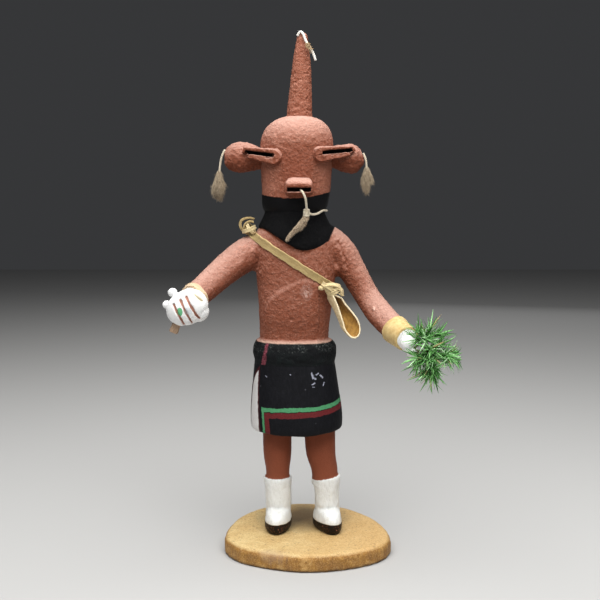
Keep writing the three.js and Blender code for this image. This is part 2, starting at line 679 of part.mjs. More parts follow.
// From the mouth a string drops to a bound and twisted tassel that lies on the scarf.
function mouthTassel() {
  const strand = string([
    v(-3.8, -25, 205.7), v(-2.6, -27.9, 204.2), v(-1.3, -28, 201.2), v(-0.8, -25.6, 197.4), v(-0.6, -22.8, 193.6),
  ], STRING_RADIUS, 9);
  const binding = limb([[-0.6, -22.8, 195.8, 1.4, 1.4], [-0.8, -22.4, 191.2, 1.8, 1.7]], { steps: 2, count: 8 });
  const twist = limb([
    [-0.6, -22.4, 192.4, 1.5, 1.4], [-4.6, -23, 187.4, 2.5, 2.2], [-8, -23.4, 184, 1.8, 1.6],
    [-11.6, -23.2, 178, 0.7, 0.7],
  ], { steps: 6, count: 8 });
  return cut(join(strand, binding, twist), scarf(GAP), head(GAP), mouth());
}

// The other end of that string lies in the groove between head and scarf, round to the back.
function neckString() {
  const points = [v(1.5, -20.6, 193.2), v(3.4, -19.6, 192.9), v(6.6, -16.2, 193.8)];
  const reach = 18.9;
  for (let degrees = -35; degrees <= 70; degrees += 21) {
    const turn = THREE.MathUtils.degToRad(degrees);
    points.push(v(-7.4 + reach * Math.cos(turn), 0.5 + reach * Math.sin(turn), HEAD_BOTTOM + 1));
  }
  return cut(string(points, STRING_RADIUS, 14), scarf(GAP), head(GAP));
}

// ---- Spruce ---------------------------------------------------------------------------------------------

// A tight bunch of spruce: a solid heart with spikes that reach as far as the longest needles do.
const BUNCH = v(63, -53, 123.6);
const BUNCH_SIZE = [8.6, 7.4, 10.4];
const BUNCH_REACH = [17.6, 13.4, 19.4];

function spruce() {
  const spikes = 26;
  const parts = [egg(BUNCH, BUNCH_SIZE, [0, 0, 0], 9)];
  for (let i = 0; i < spikes; i += 1) {
    // Evenly spread directions on a sphere, with reaches that differ from spike to spike.
    const rise = 1 - (2 * i + 1) / spikes;
    const turn = i * Math.PI * (3 - Math.sqrt(5));
    const level = Math.sqrt(1 - rise * rise);
    const stretch = 0.84 + 0.16 * Math.cos(2.7 * i);
    const tip = v(
      BUNCH.x + BUNCH_REACH[0] * stretch * level * Math.cos(turn),
      BUNCH.y + BUNCH_REACH[1] * stretch * level * Math.sin(turn),
      BUNCH.z + BUNCH_REACH[2] * stretch * rise,
    );
    const length = tip.distanceTo(BUNCH);
    const spike = new THREE.ConeGeometry(1.8, length, 4);
    spike.translate(0, length / 2, 0);
    const aim = tip.clone().sub(BUNCH).normalize();
    spike.applyQuaternion(new THREE.Quaternion().setFromUnitVectors(v(0, 1, 0), aim));
    spike.translate(BUNCH.x, BUNCH.y, BUNCH.z);
    parts.push(solid(spike));
  }
  return cut(join(...parts), mitten(GAP), armStem('left', 2 * GAP + CUFF_THICKNESS));
}

// ---- Assembly ---------------------------------------------------------------------------------------

const paint = (color, roughness = 0.85) => new THREE.MeshStandardMaterial({ color, roughness, metalness: 0 });
const clay = paint('#9c5e4a');
const doll = new THREE.Group();

function add(name, body, material) {
  const mesh = new THREE.Mesh(geometryOf(body), material);
  mesh.name = name;
  doll.add(mesh);
}

const figure = join(
  head(), scarf(), trunk(), belt(), kilt(), ...LEGS.map(leg), ...BOOTS.map(boot),
);

const keepClear = join(trunk(GAP), scarf(GAP), head(GAP));
const rightArm = join(armStem('right'), cut(fist(), grooves()));
const leftArm = join(armStem('left'), mitten());
const bandolier = cut(
  join(strap(), shoulderKnot(), sideKnot()),
  keepClear, armStem('right', GAP), armStem('left', GAP),
);
const leather = (color) => paint(color, 0.8);
const cotton = paint('#8f806a', 0.95);

add('base', slab(), paint('#cfa76c', 0.7));
add('body', figure, clay);
add('crown_cone', cut(crown(), head(GAP)), clay.clone());
add('side_knob_right', cut(knob('right'), head(GAP)), clay.clone());
add('side_knob_left', cut(knob('left'), head(GAP)), clay.clone());
add('eye_bar_right', eye('right'), clay.clone());
add('eye_bar_left', eye('left'), clay.clone());
add('mouth', mouth(), clay.clone());
add('arm_right', cut(rightArm, keepClear), clay.clone());
add('arm_left', cut(leftArm, keepClear), clay.clone());
add('held_stick', heldStick(), paint('#8a6a4c'));
add('cuff_right', cut(cuff('right', 0.8, 0.93), fist(GAP)), leather('#e0cfa8'));
add('cuff_left', cut(cuff('left', 0.84, 1), mitten(GAP)), leather('#d8bd7a'));
add('bandolier_strap', bandolier, leather('#c2a878'));
add('pouch', cut(pouch(), trunk(GAP), sideKnotWrap(GAP), whisker(GAP), armStem('left', GAP)), leather('#c9ad6c'));
add('crown_string', cut(crownString(), crown(GAP)), cotton);
add('knob_tassel_right', knobTassel('right'), cotton.clone());
add('knob_tassel_left', knobTassel('left'), cotton.clone());
add('mouth_tassel', mouthTassel(), cotton.clone());
add('neck_string', neckString(), cotton.clone());
add('spruce_bunch', spruce(), paint('#5c9a52', 0.7));

export default doll;
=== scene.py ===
"""A carved and painted kachina doll of the mudhead kind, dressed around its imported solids.

The doll faces -Y and stands on an oval wooden slab. "Right" and "left" are its own: right is -X.
Sizes in the tables are millimetres, as in the solids, and meshes are made in metres.
"""

import itertools
import math

import bmesh
import bpy
import numpy as np
from mathutils import Matrix, Vector
from mathutils.bvhtree import BVHTree


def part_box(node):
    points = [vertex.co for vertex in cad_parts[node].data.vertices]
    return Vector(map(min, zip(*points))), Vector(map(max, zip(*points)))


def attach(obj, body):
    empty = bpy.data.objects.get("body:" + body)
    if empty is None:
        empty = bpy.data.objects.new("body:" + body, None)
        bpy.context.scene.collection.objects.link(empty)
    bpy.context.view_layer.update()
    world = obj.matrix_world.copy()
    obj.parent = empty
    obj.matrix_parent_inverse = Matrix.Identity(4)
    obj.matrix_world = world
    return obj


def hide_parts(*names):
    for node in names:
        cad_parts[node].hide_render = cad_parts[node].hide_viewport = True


MM = 0.001
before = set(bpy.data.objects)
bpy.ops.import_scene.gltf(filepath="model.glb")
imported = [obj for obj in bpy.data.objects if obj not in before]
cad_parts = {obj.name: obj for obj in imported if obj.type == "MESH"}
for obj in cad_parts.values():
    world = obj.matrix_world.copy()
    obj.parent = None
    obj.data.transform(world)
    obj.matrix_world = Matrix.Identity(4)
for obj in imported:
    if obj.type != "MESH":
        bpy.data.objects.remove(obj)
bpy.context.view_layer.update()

# ---- Driving sizes, millimetres ------------------------------------------------------------------

SLAB_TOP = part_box("base")[1].z / MM
FOOT_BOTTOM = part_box("body")[0].z / MM
HEAD_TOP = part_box("body")[1].z / MM
CROWN_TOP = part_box("crown_cone")[1].z / MM
SOLE_TOP = FOOT_BOTTOM + 5.1
BOOT_TOP = 40.5
HEM = 70.0
BELT_BOTTOM = 108.5
BELT_TOP = 121.4
SHOULDER = 188.0
HEAD_BOTTOM = 193.6
HEAD_HALF = 20.5
DOME_HEIGHT = 19
KNOB_Z = 224.2
SCARF_SIDE = 184.5
SCARF_TIP = 172.6
SCARF_MIDDLE = (-7.2, 0.5)
SCARF_TURN = 0.33  # how far the hem's tip lies round to the left, in radians
SCARF_POINT = 2.4  # how sharply the hem comes down to its tip
GLUE_BEAD = (36.6, 140.8)  # front view (x, z), as the next three
SHOULDER_RIDGES = (-36.0, 171.7)
BELLY_RUB = (-0.5, 149.6)
NAVEL = (-9.2, 134.3)
RIDGE_COS, RIDGE_SIN = 0.80, 0.60  # how the shoulder's ridges slant
FACE_X = -6.0
BAND_X = -6.5
BAND_TOP = 201.4
TRUNK_X = -7
SCARF_REACH = 22.8
STREAK_X = -25.0
GREEN_LINE, GREEN_UPRIGHT = (82.9, 85.2), (-26.0, -24.7)  # level round the kilt, and upright by its panel
RED_LINE, RED_UPRIGHT = (79.5, 82.5), (-24.5, -22.0)
SCRAPES = [  # front view: x and z of one end and of the other, and half the width
    (2.4, 104.4, 3.0, 101.4, 0.55), (3.4, 101.6, 4.5, 100.9, 0.6), (6.0, 103.9, 4.9, 103.2, 0.45),
    (7.2, 102.8, 8.5, 101.5, 0.5), (2.6, 97.9, 4.1, 98.7, 0.4), (2.9, 96.6, 3.9, 96.4, 0.3),
    (9.4, 98.6, 8.8, 96.9, 0.3), (-23.4, 102.2, -22.9, 101.9, 0.35), (-9.6, 103.6, -9.3, 103.4, 0.3),
]
LEG_TOP = 76
ANKLE_CREASE = 22.4
CUFFS = {"right": (0.865, 0.968), "left": (0.845, 0.995)}  # where along its arm each cuff starts and ends
CAMERA_PLACE = (-4.2, -525, 195)
CAMERA_TILT = 5.58  # degrees down
CAMERA_LENS = 55.32


# ---- Camera, light and floor ---------------------------------------------------------------------

def place_camera():
    data = bpy.data.cameras.new("camera")
    data.sensor_width = 36
    data.lens = CAMERA_LENS
    data.clip_start = 0.01
    camera = bpy.data.objects.new("camera", data)
    camera.location = Vector(CAMERA_PLACE) * MM
    camera.rotation_euler = (math.radians(90 - CAMERA_TILT), 0, 0)
    bpy.context.scene.collection.objects.link(camera)
    bpy.context.scene.camera = camera


def soft_light(name, place, aim, size, power, colour=(1, 1, 1)):
    """A square soft box at a place, turned towards its aim."""
    data = bpy.data.lights.new(name, "AREA")
    data.shape = "SQUARE"
    data.size = size
    data.energy = power
    data.color = colour
    lamp = bpy.data.objects.new(name, data)
    lamp.location = place
    lamp.rotation_euler = (Vector(aim) - Vector(place)).to_track_quat("-Z", "Y").to_euler()
    bpy.context.scene.collection.objects.link(lamp)


def light_studio():
    """A wide soft box high in front, weak fills, and a dim even surround."""
    soft_light("overhead", (0.02, -0.25, 0.78), (0, 0, 0.17), 1.0, 16.9, (1, 0.99, 0.975))
    soft_light("front_fill", (-0.3, -1.1, 0.35), (0, 0, 0.13), 0.7, 0.45)
    soft_light("back_fill", (0.35, 1.2, 0.55), (0, 0, 0.15), 0.9, 0.9)
    world = bpy.data.worlds.new("studio")
    world.use_nodes = True
    sky = world.node_tree.nodes["Background"]
    sky.inputs["Color"].default_value = (0.93, 0.95, 1, 1)
    sky.inputs["Strength"].default_value = 0.04
    bpy.context.scene.world = world
    bpy.context.scene.view_settings.view_transform = "Standard"


# ---- Shader kit ----------------------------------------------------------------------------------

def math_method(operation, flipped=False):
    """A method of Value: its number and the others, in either order, through one Math node."""
    def method(value, *others):
        terms = (*others, value) if flipped else (value, *others)
        return value.maths(operation, *terms)
    return method


class Value:
    """A number that varies over a surface. Sums and products on it add Math nodes."""

    def __init__(self, recipe, socket):
        self.recipe = recipe
        self.socket = socket

    def maths(self, operation, *others, clamp=False):
        node = self.recipe.tree.nodes.new("ShaderNodeMath")
        node.operation = operation
        node.use_clamp = clamp
        for socket, value in zip(node.inputs, others):
            self.recipe.feed(socket, value)
        return Value(self.recipe, node.outputs[0])

    __add__ = math_method("ADD")
    __radd__ = math_method("ADD", flipped=True)
    __sub__ = math_method("SUBTRACT")
    __rsub__ = math_method("SUBTRACT", flipped=True)
    __mul__ = math_method("MULTIPLY")
    __rmul__ = math_method("MULTIPLY", flipped=True)
    __truediv__ = math_method("DIVIDE")
    __pow__ = math_method("POWER")
    most = math_method("MAXIMUM")
    turn = math_method("ARCTAN2")
    size = math_method("ABSOLUTE")
    sine = math_method("SINE")

    def __neg__(self):
        return self.maths("MULTIPLY", self, -1.0)

    def clamped(self):
        return self.maths("ADD", self, 0.0, clamp=True)

    def above(self, edge, soft=0.2):
        """1 where the value is above the edge, 0 below, with a soft step between."""
        return self.maths("ADD", (self - edge) / soft, 0.5, clamp=True)

    def below(self, edge, soft=0.2):
        return 1.0 - self.above(edge, soft)

    def within(self, low, high, soft=0.2):
        return self.above(low, soft) * self.below(high, soft)


class Recipe:
    """One procedural material, mixed on a piece's own coordinates in millimetres.

    It keeps the colour, roughness and relief height so far, and coats are laid over them.
    """

    def __init__(self, name, specular=0.4, sheen=0.0):
        self.material = bpy.data.materials.new(name)
        self.material.use_nodes = True
        self.tree = self.material.node_tree
        self.shader = self.tree.nodes["Principled BSDF"]
        self.shader.inputs["Specular IOR Level"].default_value = specular
        self.shader.inputs["Sheen Weight"].default_value = sheen
        spot = self.node("ShaderNodeTexCoord").outputs["Object"]
        scaled_place = self.node("ShaderNodeVectorMath", {"operation": "SCALE"}, Vector=spot, Scale=1 / MM)
        self.place = scaled_place.outputs[0]
        parts = self.node("ShaderNodeSeparateXYZ", Vector=self.place).outputs
        self.x, self.y, self.z = (Value(self, part) for part in parts)

    def feed(self, socket, value):
        """Sets a socket to a plain value, or links it."""
        if isinstance(value, Value):
            value = value.socket
        if isinstance(value, bpy.types.NodeSocket):
            self.tree.links.new(value, socket)
        elif socket.type == "RGBA":
            socket.default_value = (*value, 1)
        else:
            socket.default_value = value

    def node(self, kind, settings=None, **inputs):
        """Any node: its type, its settings, and the values or links of its sockets."""
        node = self.tree.nodes.new(kind)
        for key, value in (settings or {}).items():
            setattr(node, key, value)
        for key, value in inputs.items():
            self.feed(node.inputs[key], value)
        return node

    def stretched(self, x=1.0, y=1.0, z=1.0, turn=(0, 0, 0)):
        """The place, turned and stretched, for a pattern that runs one way."""
        turned = self.node("ShaderNodeMapping", {"vector_type": "TEXTURE"}, Vector=self.place)
        turned.inputs["Rotation"].default_value = turn
        turned.inputs["Scale"].default_value = (1 / x, 1 / y, 1 / z)
        return turned.outputs[0]

    def noise(self, size, detail=2.0, rough=0.5, place=None, bend=0.0):
        """Soft random values from 0 to 1, in lumps of a size in millimetres."""
        node = self.node(
            "ShaderNodeTexNoise", Vector=place or self.place,
            Scale=1 / size, Detail=detail, Roughness=rough, Distortion=bend,
        )
        return Value(self, node.outputs["Fac"])

    def cells(self, size, place=None):
        """The distance to the nearest of random points that lie about a size apart."""
        node = self.node("ShaderNodeTexVoronoi", Vector=place or self.place, Scale=1 / size)
        return Value(self, node.outputs["Distance"])

    def spots(self, size, amount, place=None, soft=0.06):
        """1 inside small scattered grains; amount is the grain's share of its cell."""
        return self.cells(size, place).below(amount, soft)

    def mix(self, share, first, second):
        """Colour first, with a share of colour second."""
        node = self.node("ShaderNodeMix", {"data_type": "RGBA"})
        for socket, value in ((0, share), (6, first), (7, second)):
            self.feed(node.inputs[socket], value)
        return node.outputs[2]

    def over(self, share, paint):
        """Lays a share of a colour over the colour so far."""
        self.colour = self.mix(share, self.colour, paint)

    def cover(self, mask, paint, gloss, relief=0.0, keep=0.12):
        """Lays a coat with its own roughness and relief over all, which keeps a little relief from below."""
        self.over(mask, paint)
        self.rough = self.rough * (1.0 - mask) + mask * gloss
        self.height = self.height * (1.0 - mask * (1.0 - keep)) + mask * relief

    def attribute(self, name):
        node = self.node("ShaderNodeAttribute", {"attribute_name": name})
        return Value(self, node.outputs["Fac"])

    def facing_up(self):
        """1 on level upper surfaces, 0 on upright ones, below 0 underneath."""
        normal = self.node("ShaderNodeNewGeometry").outputs["Normal"]
        return Value(self, self.node("ShaderNodeSeparateXYZ", Vector=normal).outputs["Z"])

    def finish(self, roughness, height=None, relief=0.3, coat=None):
        """Connects the colour, a roughness and a relief height in millimetres, and gives the material."""
        self.feed(self.shader.inputs["Base Color"], self.colour)
        self.feed(self.shader.inputs["Roughness"], roughness)
        if coat is not None:
            self.feed(self.shader.inputs["Coat Weight"], coat)
            self.shader.inputs["Coat Roughness"].default_value = 0.35
        if height is not None:
            bump = self.node("ShaderNodeBump", Strength=relief, Distance=MM, Height=height)
            self.feed(self.shader.inputs["Normal"], bump.outputs["Normal"])
        return self.material


# ---- Paints and other finishes -------------------------------------------------------------------

MUD = (0.285, 0.087, 0.047)
MUD_PALE = (0.44, 0.185, 0.125)
MUD_DEEP = (0.185, 0.050, 0.026)
BLACK = (0.0015, 0.0015, 0.0020)
SLOT_BLACK = (0.0012, 0.0010, 0.0010)
KILT_BLACK = (0.0036, 0.0039, 0.0054)
BELT_BLACK = (0.0050, 0.0056, 0.0066)
WHITE = (0.80, 0.815, 0.80)
SOLE = (0.010, 0.007, 0.005)


def scaled(colour, share):
    return tuple(min(1.0, share * part) for part in colour)


def sandy_mud(r, strokes=None):
    """Starts a recipe with thick mud-brown paint that has sand in it; strokes marks brushed places. Upper
    faces are paler with dusting and painted highlight, and undersides have painted shade.
    """
    blotch = r.noise(11, 3, 0.6)
    lumps = r.noise(2.2, 3, 0.6)
    sand = r.noise(0.80, 2, 0.55)
    grit = r.cells(1.35)
    grain = grit.below(0.50, 0.55) * r.noise(2.4, 2).above(0.46, 0.25)
    r.colour = r.mix(blotch.within(0.2, 0.8, 0.5), MUD_DEEP, MUD)
    r.colour = r.mix((blotch.above(0.5, 0.35)) * 0.65, MUD, r.colour)
    r.over(lumps.above(0.60, 0.3) * 0.22, MUD_PALE)
    r.over(lumps.below(0.38, 0.2) * 0.22, MUD_DEEP)
    r.over(sand.above(0.58, 0.16) * 0.30, MUD_PALE)
    r.over(sand.below(0.42, 0.14) * 0.32, (0.14, 0.036, 0.018))
    r.over(grain * 0.30, (0.50, 0.25, 0.18))
    r.over(r.spots(6.5, 0.05) * r.noise(0.5, 2).above(0.45, 0.2) * 0.6, (0.62, 0.45, 0.33))
    if strokes is not None:
        brush = r.noise(1.1, 3, 0.6, place=r.stretched(1, 1, 0.14))
        r.over(strokes * brush.above(0.56, 0.16) * 0.24, MUD_PALE)
        r.over(strokes * brush.below(0.44, 0.16) * 0.2, MUD_DEEP)
    up = r.facing_up()
    # Paler upper faces: real dust, and a painted highlight from the light above.
    dust_and_sheen = up.above(0.39, 0.95) * (0.6 + 0.5 * (lumps - 0.3))
    r.over(dust_and_sheen * 0.70, (0.62, 0.435, 0.37))
    # Darker undersides: painted shade.
    r.over(up.below(-0.12, 0.8) * 0.66, (0.080, 0.017, 0.006))
    r.height = lumps * 0.34 + sand * 0.52 + grain * 0.44
    r.rough = 0.80 + 0.15 * sand


def paint_face(r):
    """Mud paint all over, brushed on the lower face; painted shade darkens the brow and painted light
    brightens the cheeks.
    """
    y, z = r.y, r.edge_z
    sandy_mud(r, z.within(203, 219, 5) * y.below(-8, 4))
    aside = (r.x - FACE_X).size()
    # Painted shade over the brow, between the eye bars.
    brow = aside.below(9.0, 8.0) * z.within(214, 229, 8) * y.below(-8, 4)
    r.over(brow * 0.42, MUD_DEEP)
    # Painted light on the cheeks, paler at the sides of the face.
    cheek = aside.above(11.0, 5.0) * z.within(203, 222, 6) * y.below(-4, 5)
    r.over(cheek * 0.35, MUD_PALE)


def paint_trunk_and_legs(r):
    """Brush ridges where the right arm joins, their crests painted as highlight; glue at the left elbow, a
    rubbed belly, and smooth legs with painted shade under the kilt.
    """
    y, z, fine = r.y, r.edge_z, r.fine
    ridge_x, ridge_z = SHOULDER_RIDGES
    along = (r.x - ridge_x) * RIDGE_COS + (r.z - ridge_z) * RIDGE_SIN
    aside = (r.z - ridge_z) * RIDGE_COS - (r.x - ridge_x) * RIDGE_SIN
    ridge = r.noise(1.3, 3, 0.6, place=r.stretched(0.22, 1, 1, (0, -0.65, 0)))
    joint = along.size().below(7.0, 5.0) * aside.size().below(4.2, 3.0) * y.below(-6.5, 2.0)
    # The ridges' crests are painted paler: painted highlight.
    r.cover(joint * ridge.above(0.57, 0.10) * 0.75, (0.55, 0.27, 0.20), 0.8, ridge * 0.9)
    bead_x, bead_z = GLUE_BEAD
    bead = ((r.x - bead_x) * (r.x - bead_x) + (r.z - bead_z) * (r.z - bead_z) * 0.6) ** 0.5 + r.ragged * 1.2
    r.cover(bead.below(0.75, 0.7) * y.below(-8.0, 1.0), (0.66, 0.42, 0.34), 0.6, 0.9)
    scuff = r.noise(0.8, 3, 0.7, place=r.stretched(0.4, 1, 1, (0, 0.9, 0)))
    rub_x, rub_z = BELLY_RUB
    rubbed = (((r.x - rub_x) ** 2.0 * 2.0 + (r.z - rub_z) ** 2.0) ** 0.5).below(3.4, 4.5) * y.below(-10, 1)
    r.cover(rubbed * scuff.above(0.50, 0.2) * 0.7, (0.62, 0.42, 0.36), 0.8, fine * 0.4)
    # Long level brush marks over the trunk.
    sweep = r.noise(1.2, 3, 0.6, place=r.stretched(0.12, 1, 1, (0, -0.15, 0)))
    trunk = z.within(BELT_TOP, SCARF_TIP, 4) * y.below(-6, 4)
    r.cover(trunk * sweep.above(0.58, 0.12) * 0.15, MUD_PALE, 0.8, sweep * 0.8, 0.6)
    r.cover(trunk * sweep.below(0.42, 0.12) * 0.16, MUD_DEEP, 0.8, sweep * 0.8, 0.6)

    # Legs are rubbed smoother than the trunk, and painted darker towards the top: painted shade under the
    # kilt.
    legs = z.within(BOOT_TOP - 3, HEM + 1)
    smooth_mud_with_shade = r.mix(r.broad, (0.165, 0.040, 0.018), (0.235, 0.064, 0.030))
    # Paler below, darker up under the kilt: painted shade.
    smooth_mud_with_shade = r.mix(r.z.below(56.0, 20.0) * 0.5, smooth_mud_with_shade, MUD)
    r.cover(legs, r.mix(fine.above(0.6, 0.3) * 0.4, smooth_mud_with_shade, MUD), 0.62, fine * 0.4, 0.15)


def paint_bands(r):
    """The black band round the foot of the head, the scarf down to its pointed hem, and the rolled belt."""
    y, z, fine, broad = r.y, r.edge_z, r.fine, r.broad
    # The head's band is lowest in front.
    reach = (r.x - BAND_X).size() / HEAD_HALF
    band_top = BAND_TOP + (reach * reach) * 3.4 + (r.x - BAND_X) * 0.04
    band = z.below(band_top, 0.25) * z.above(HEAD_BOTTOM - 1.5)
    black = r.mix(broad.above(0.5, 0.5) * 0.2, BLACK, (0.008, 0.008, 0.010))
    r.cover(band, black, 0.58 + 0.12 * broad, fine * 0.16)

    round_x = r.x - SCARF_MIDDLE[0] + r.ragged * 0.6
    round_y = y - SCARF_MIDDLE[1]
    turn = round_y.turn(round_x) - SCARF_TURN
    front = (-turn.sine()).most(0.0) ** SCARF_POINT
    hem = SCARF_SIDE - (SCARF_SIDE - SCARF_TIP) * front
    spread = (round_x * round_x + round_y * round_y) ** 0.5
    scarf = z.above(hem + 0.1, 0.3) * spread.below(SCARF_REACH, 0.4) * z.below(HEAD_BOTTOM + 1)
    dusty = r.mix(r.noise(1.4, 4, 0.7).above(0.64, 0.2) * 0.14, BLACK, (0.060, 0.058, 0.056))
    r.cover(scarf, dusty, 0.78 + 0.12 * broad, fine * 0.2 + broad * 0.2)

    # The belt is worn pale along its upper edge, with a faded red streak at its right.
    belt = z.within(BELT_BOTTOM - 1.5, BELT_TOP - 0.7, 0.3)
    rub = r.noise(0.9, 4, 0.75)
    worn = (r.z - (BELT_TOP - 6.5)).clamped() * 0.1
    cloth = r.mix(broad.above(0.55, 0.3) * 0.35, BELT_BLACK, (0.006, 0.013, 0.012))
    tufted = rub.above(0.64 - worn * 0.6, 0.10) * r.noise(4.5, 2).above(0.50, 0.25)
    cloth = r.mix(tufted * (0.12 + 3.6 * worn), cloth, (0.20, 0.21, 0.20))
    r.cover(belt, cloth, 0.74, rub * 0.55 + fine * 0.25)
    seam = r.z.within(BELT_TOP - 0.9, BELT_TOP - 0.1, 0.5) * (spread.below(21.0, 1.0))
    r.cover(seam * (0.25 + 0.6 * rub), (0.52, 0.35, 0.27), 0.8, fine * 0.3)
    slant = r.x - STREAK_X - (r.z - BELT_BOTTOM) * 0.2 + r.wobble * 1.4 + r.ragged * 1.0
    wide = 1.15 - (r.z - BELT_BOTTOM) * 0.035
    streak = slant.size().below(wide, 0.5) * r.z.within(BELT_BOTTOM - 4, BELT_TOP - 0.8, 1.2) * y.below(0.0)
    streak_mask = streak * (0.45 + 0.6 * rub)
    old_red = r.mix(rub.above(0.5, 0.3), (0.075, 0.008, 0.014), (0.33, 0.085, 0.115))
    r.cover(streak_mask, old_red, 0.7, fine * 0.2)


def paint_kilt(r):
    """The black kilt and its painted borders, which follow the hem round to the side panel."""
    x, y, z, fine = r.edge_x, r.y, r.edge_z, r.fine
    hem_low = HEM - 0.8 - ((-(r.y + 4.0)) / 16.0).clamped() * 1.9
    kilt = z.above(hem_low, 0.3) * z.below(BELT_BOTTOM - 0.3, 0.3)
    weave = r.noise(1.3, 4, 0.65, place=r.stretched(1, 1, 0.35))
    r.cover(kilt, r.mix(weave.above(0.56, 0.25) * 0.35, KILT_BLACK, (0.013, 0.013, 0.017)),
          0.58 + 0.15 * r.broad, weave * 0.25 + fine * 0.12)
    side = (r.x + 3.1) / 26.5
    rise = (side.most(0.0) ** 2.1) * 4.4 - (-side).most(0.0) * 0.9
    line = z - rise + r.wobble * 0.5
    lean = x - (84.0 - r.z) * 0.07
    upright = lean.above(-26.1, 0.25) * y.below(2.0, 0.4)
    behind = y.above(1.6, 0.4)
    runs = (upright + behind * x.above(-29.2, 0.3)).clamped()
    green = line.within(*GREEN_LINE, 0.3) * runs
    green = (green + lean.within(*GREEN_UPRIGHT, 0.3) * line.below(84) * y.below(0.0)).clamped() * kilt
    red = line.within(*RED_LINE, 0.3) * runs * lean.above(RED_UPRIGHT[0], 0.3)
    red = (red + lean.within(*RED_UPRIGHT, 0.3) * line.below(81) * y.below(0.0)).clamped() * kilt
    patchy = r.noise(1.0, 4, 0.7)
    for line_mask, bare_share, edge, dark, light in (
        (red, 0.26, 0.16, (0.065, 0.007, 0.009), (0.175, 0.024, 0.026)),
        (green, 0.28, 0.12, (0.034, 0.165, 0.070), (0.105, 0.355, 0.165)),
    ):
        r.cover(line_mask * patchy.above(bare_share, edge), r.mix(patchy, dark, light), 0.62, fine * 0.3)
    return kilt


def paint_side_panel(r):
    """The white side panel, a crescent that widens downwards, edged with dark red."""
    x, z, fine = r.edge_x, r.edge_z, r.fine
    bow = (90.0 - r.z) / 20.0
    panel_front = bow * bow * 0.8 - 28.1
    panel = x.below(panel_front, 0.3) * z.above(HEM - 0.6) * z.below(BELT_BOTTOM - 2.8, 1.0)
    panel_back = r.y + 4.6 + ((r.z - 92.0) / 16.0).most(0.0) ** 2.0 * 8.0
    panel = panel * panel_back.below(0.0, 0.4)
    edging = x.below(panel_front + 0.8, 0.3) * z.within(HEM, BELT_BOTTOM - 1) * panel_back.below(1.8, 0.4)
    r.cover(edging * (1.0 - panel) * 0.85, (0.055, 0.006, 0.009), 0.6, fine * 0.2)
    r.cover(panel, r.mix(fine.above(0.55, 0.3) * 0.3, (0.66, 0.64, 0.63), WHITE), 0.6, fine * 0.3)


def paint_scrapes(r, kilt):
    """A few chips and scrapes in the kilt's black."""
    scrapes = None
    for x0, z0, x1, z1, size in SCRAPES:
        run_x, run_z = x1 - x0, z1 - z0
        square = run_x ** 2 + run_z ** 2
        share = ((r.x - x0) * (run_x / square) + (r.z - z0) * (run_z / square)).clamped()
        away = ((r.x - x0 - share * run_x) ** 2.0 + (r.z - z0 - share * run_z) ** 2.0) ** 0.5
        scrape = (away + r.ragged * 1.2).below(size * 0.8, 0.25)
        scrapes = scrape if scrapes is None else scrapes.most(scrape)
    r.cover(scrapes * r.y.below(0.0) * 0.9, r.mix(r.fine, (0.13, 0.14, 0.19), (0.47, 0.48, 0.58)), 0.7)
    r.cover(r.spots(7.5, 0.045) * kilt * 0.5, (0.14, 0.14, 0.16), 0.7)


def paint_moccasins(r):
    """White moccasins with dark soles."""
    fine = r.fine
    left_foot = r.x.above(-2.5, 0.1)
    boot_edge = BOOT_TOP - 0.15 + left_foot * (r.x - 11.4) * 0.172
    boots = r.edge_z.below(boot_edge, 0.25)
    smudge = r.noise(2.6, 4, 0.65)
    white = r.mix(smudge.above(0.6, 0.25) * 0.3, WHITE, (0.62, 0.61, 0.56))
    daub = r.noise(1.5, 3, 0.6, place=r.stretched(1, 1, 0.4))
    white = r.mix(daub.below(0.42, 0.15) * 0.25, white, (0.60, 0.58, 0.54))
    r.cover(boots, white, 0.52 + 0.2 * smudge, daub * 0.9 + fine * 0.1)
    toe = (-(r.y + 4)).most(0.0)
    sole_edge = SOLE_TOP + 0.3 + toe * 0.06 + r.wobble * 0.5
    sole = r.z.below(sole_edge, 0.3)
    chips = r.noise(0.9, 3, 0.7)
    tread = r.mix(chips.above(0.60, 0.08) * 0.7, SOLE, (0.15, 0.055, 0.025))
    tread = r.mix(r.spots(2.4, 0.12) * 0.8, tread, (0.42, 0.16, 0.10))
    r.cover(sole, tread, 0.42, fine * 0.5)


def figure_paint():
    """The whole carved figure: mud brown, and the painted scarf, belt, kilt and moccasins."""
    r = Recipe("figure_paint", specular=0.13)
    r.wobble = r.noise(3.2, 2, 0.55) - 0.5
    r.ragged = r.noise(0.8, 2, 0.6) - 0.5
    # The place, wobbled for the edges of what is painted.
    r.edge_x = r.x + r.wobble * 0.9 + r.ragged * 0.3
    r.edge_z = r.z + r.wobble * 0.9 + r.ragged * 0.35
    paint_face(r)
    r.fine = r.noise(0.55, 3, 0.6)
    r.broad = r.noise(4.5, 3, 0.6)
    paint_trunk_and_legs(r)
    paint_bands(r)
    kilt = paint_kilt(r)
    paint_side_panel(r)
    paint_scrapes(r, kilt)
    paint_moccasins(r)
    return r.finish(r.rough, r.height, 0.75)


def fitting_paint(name, stain):
    """Mud paint on the applied pieces, with a share of painted shade (stain) over it all, and black inside
    their slots.
    """
    r = Recipe(name, specular=0.14)
    sandy_mud(r)
    # Painted shade, even over the whole piece, in the share given.
    r.over(stain, MUD_DEEP)
    inside = r.attribute("slot") + (r.noise(0.9, 3, 0.7) - 0.5) * 0.55
    dark = inside.above(0.5, 0.2)
    r.over(dark, SLOT_BLACK)
    return r.finish(r.rough, r.height * (1.0 - dark * 0.8), 0.8)


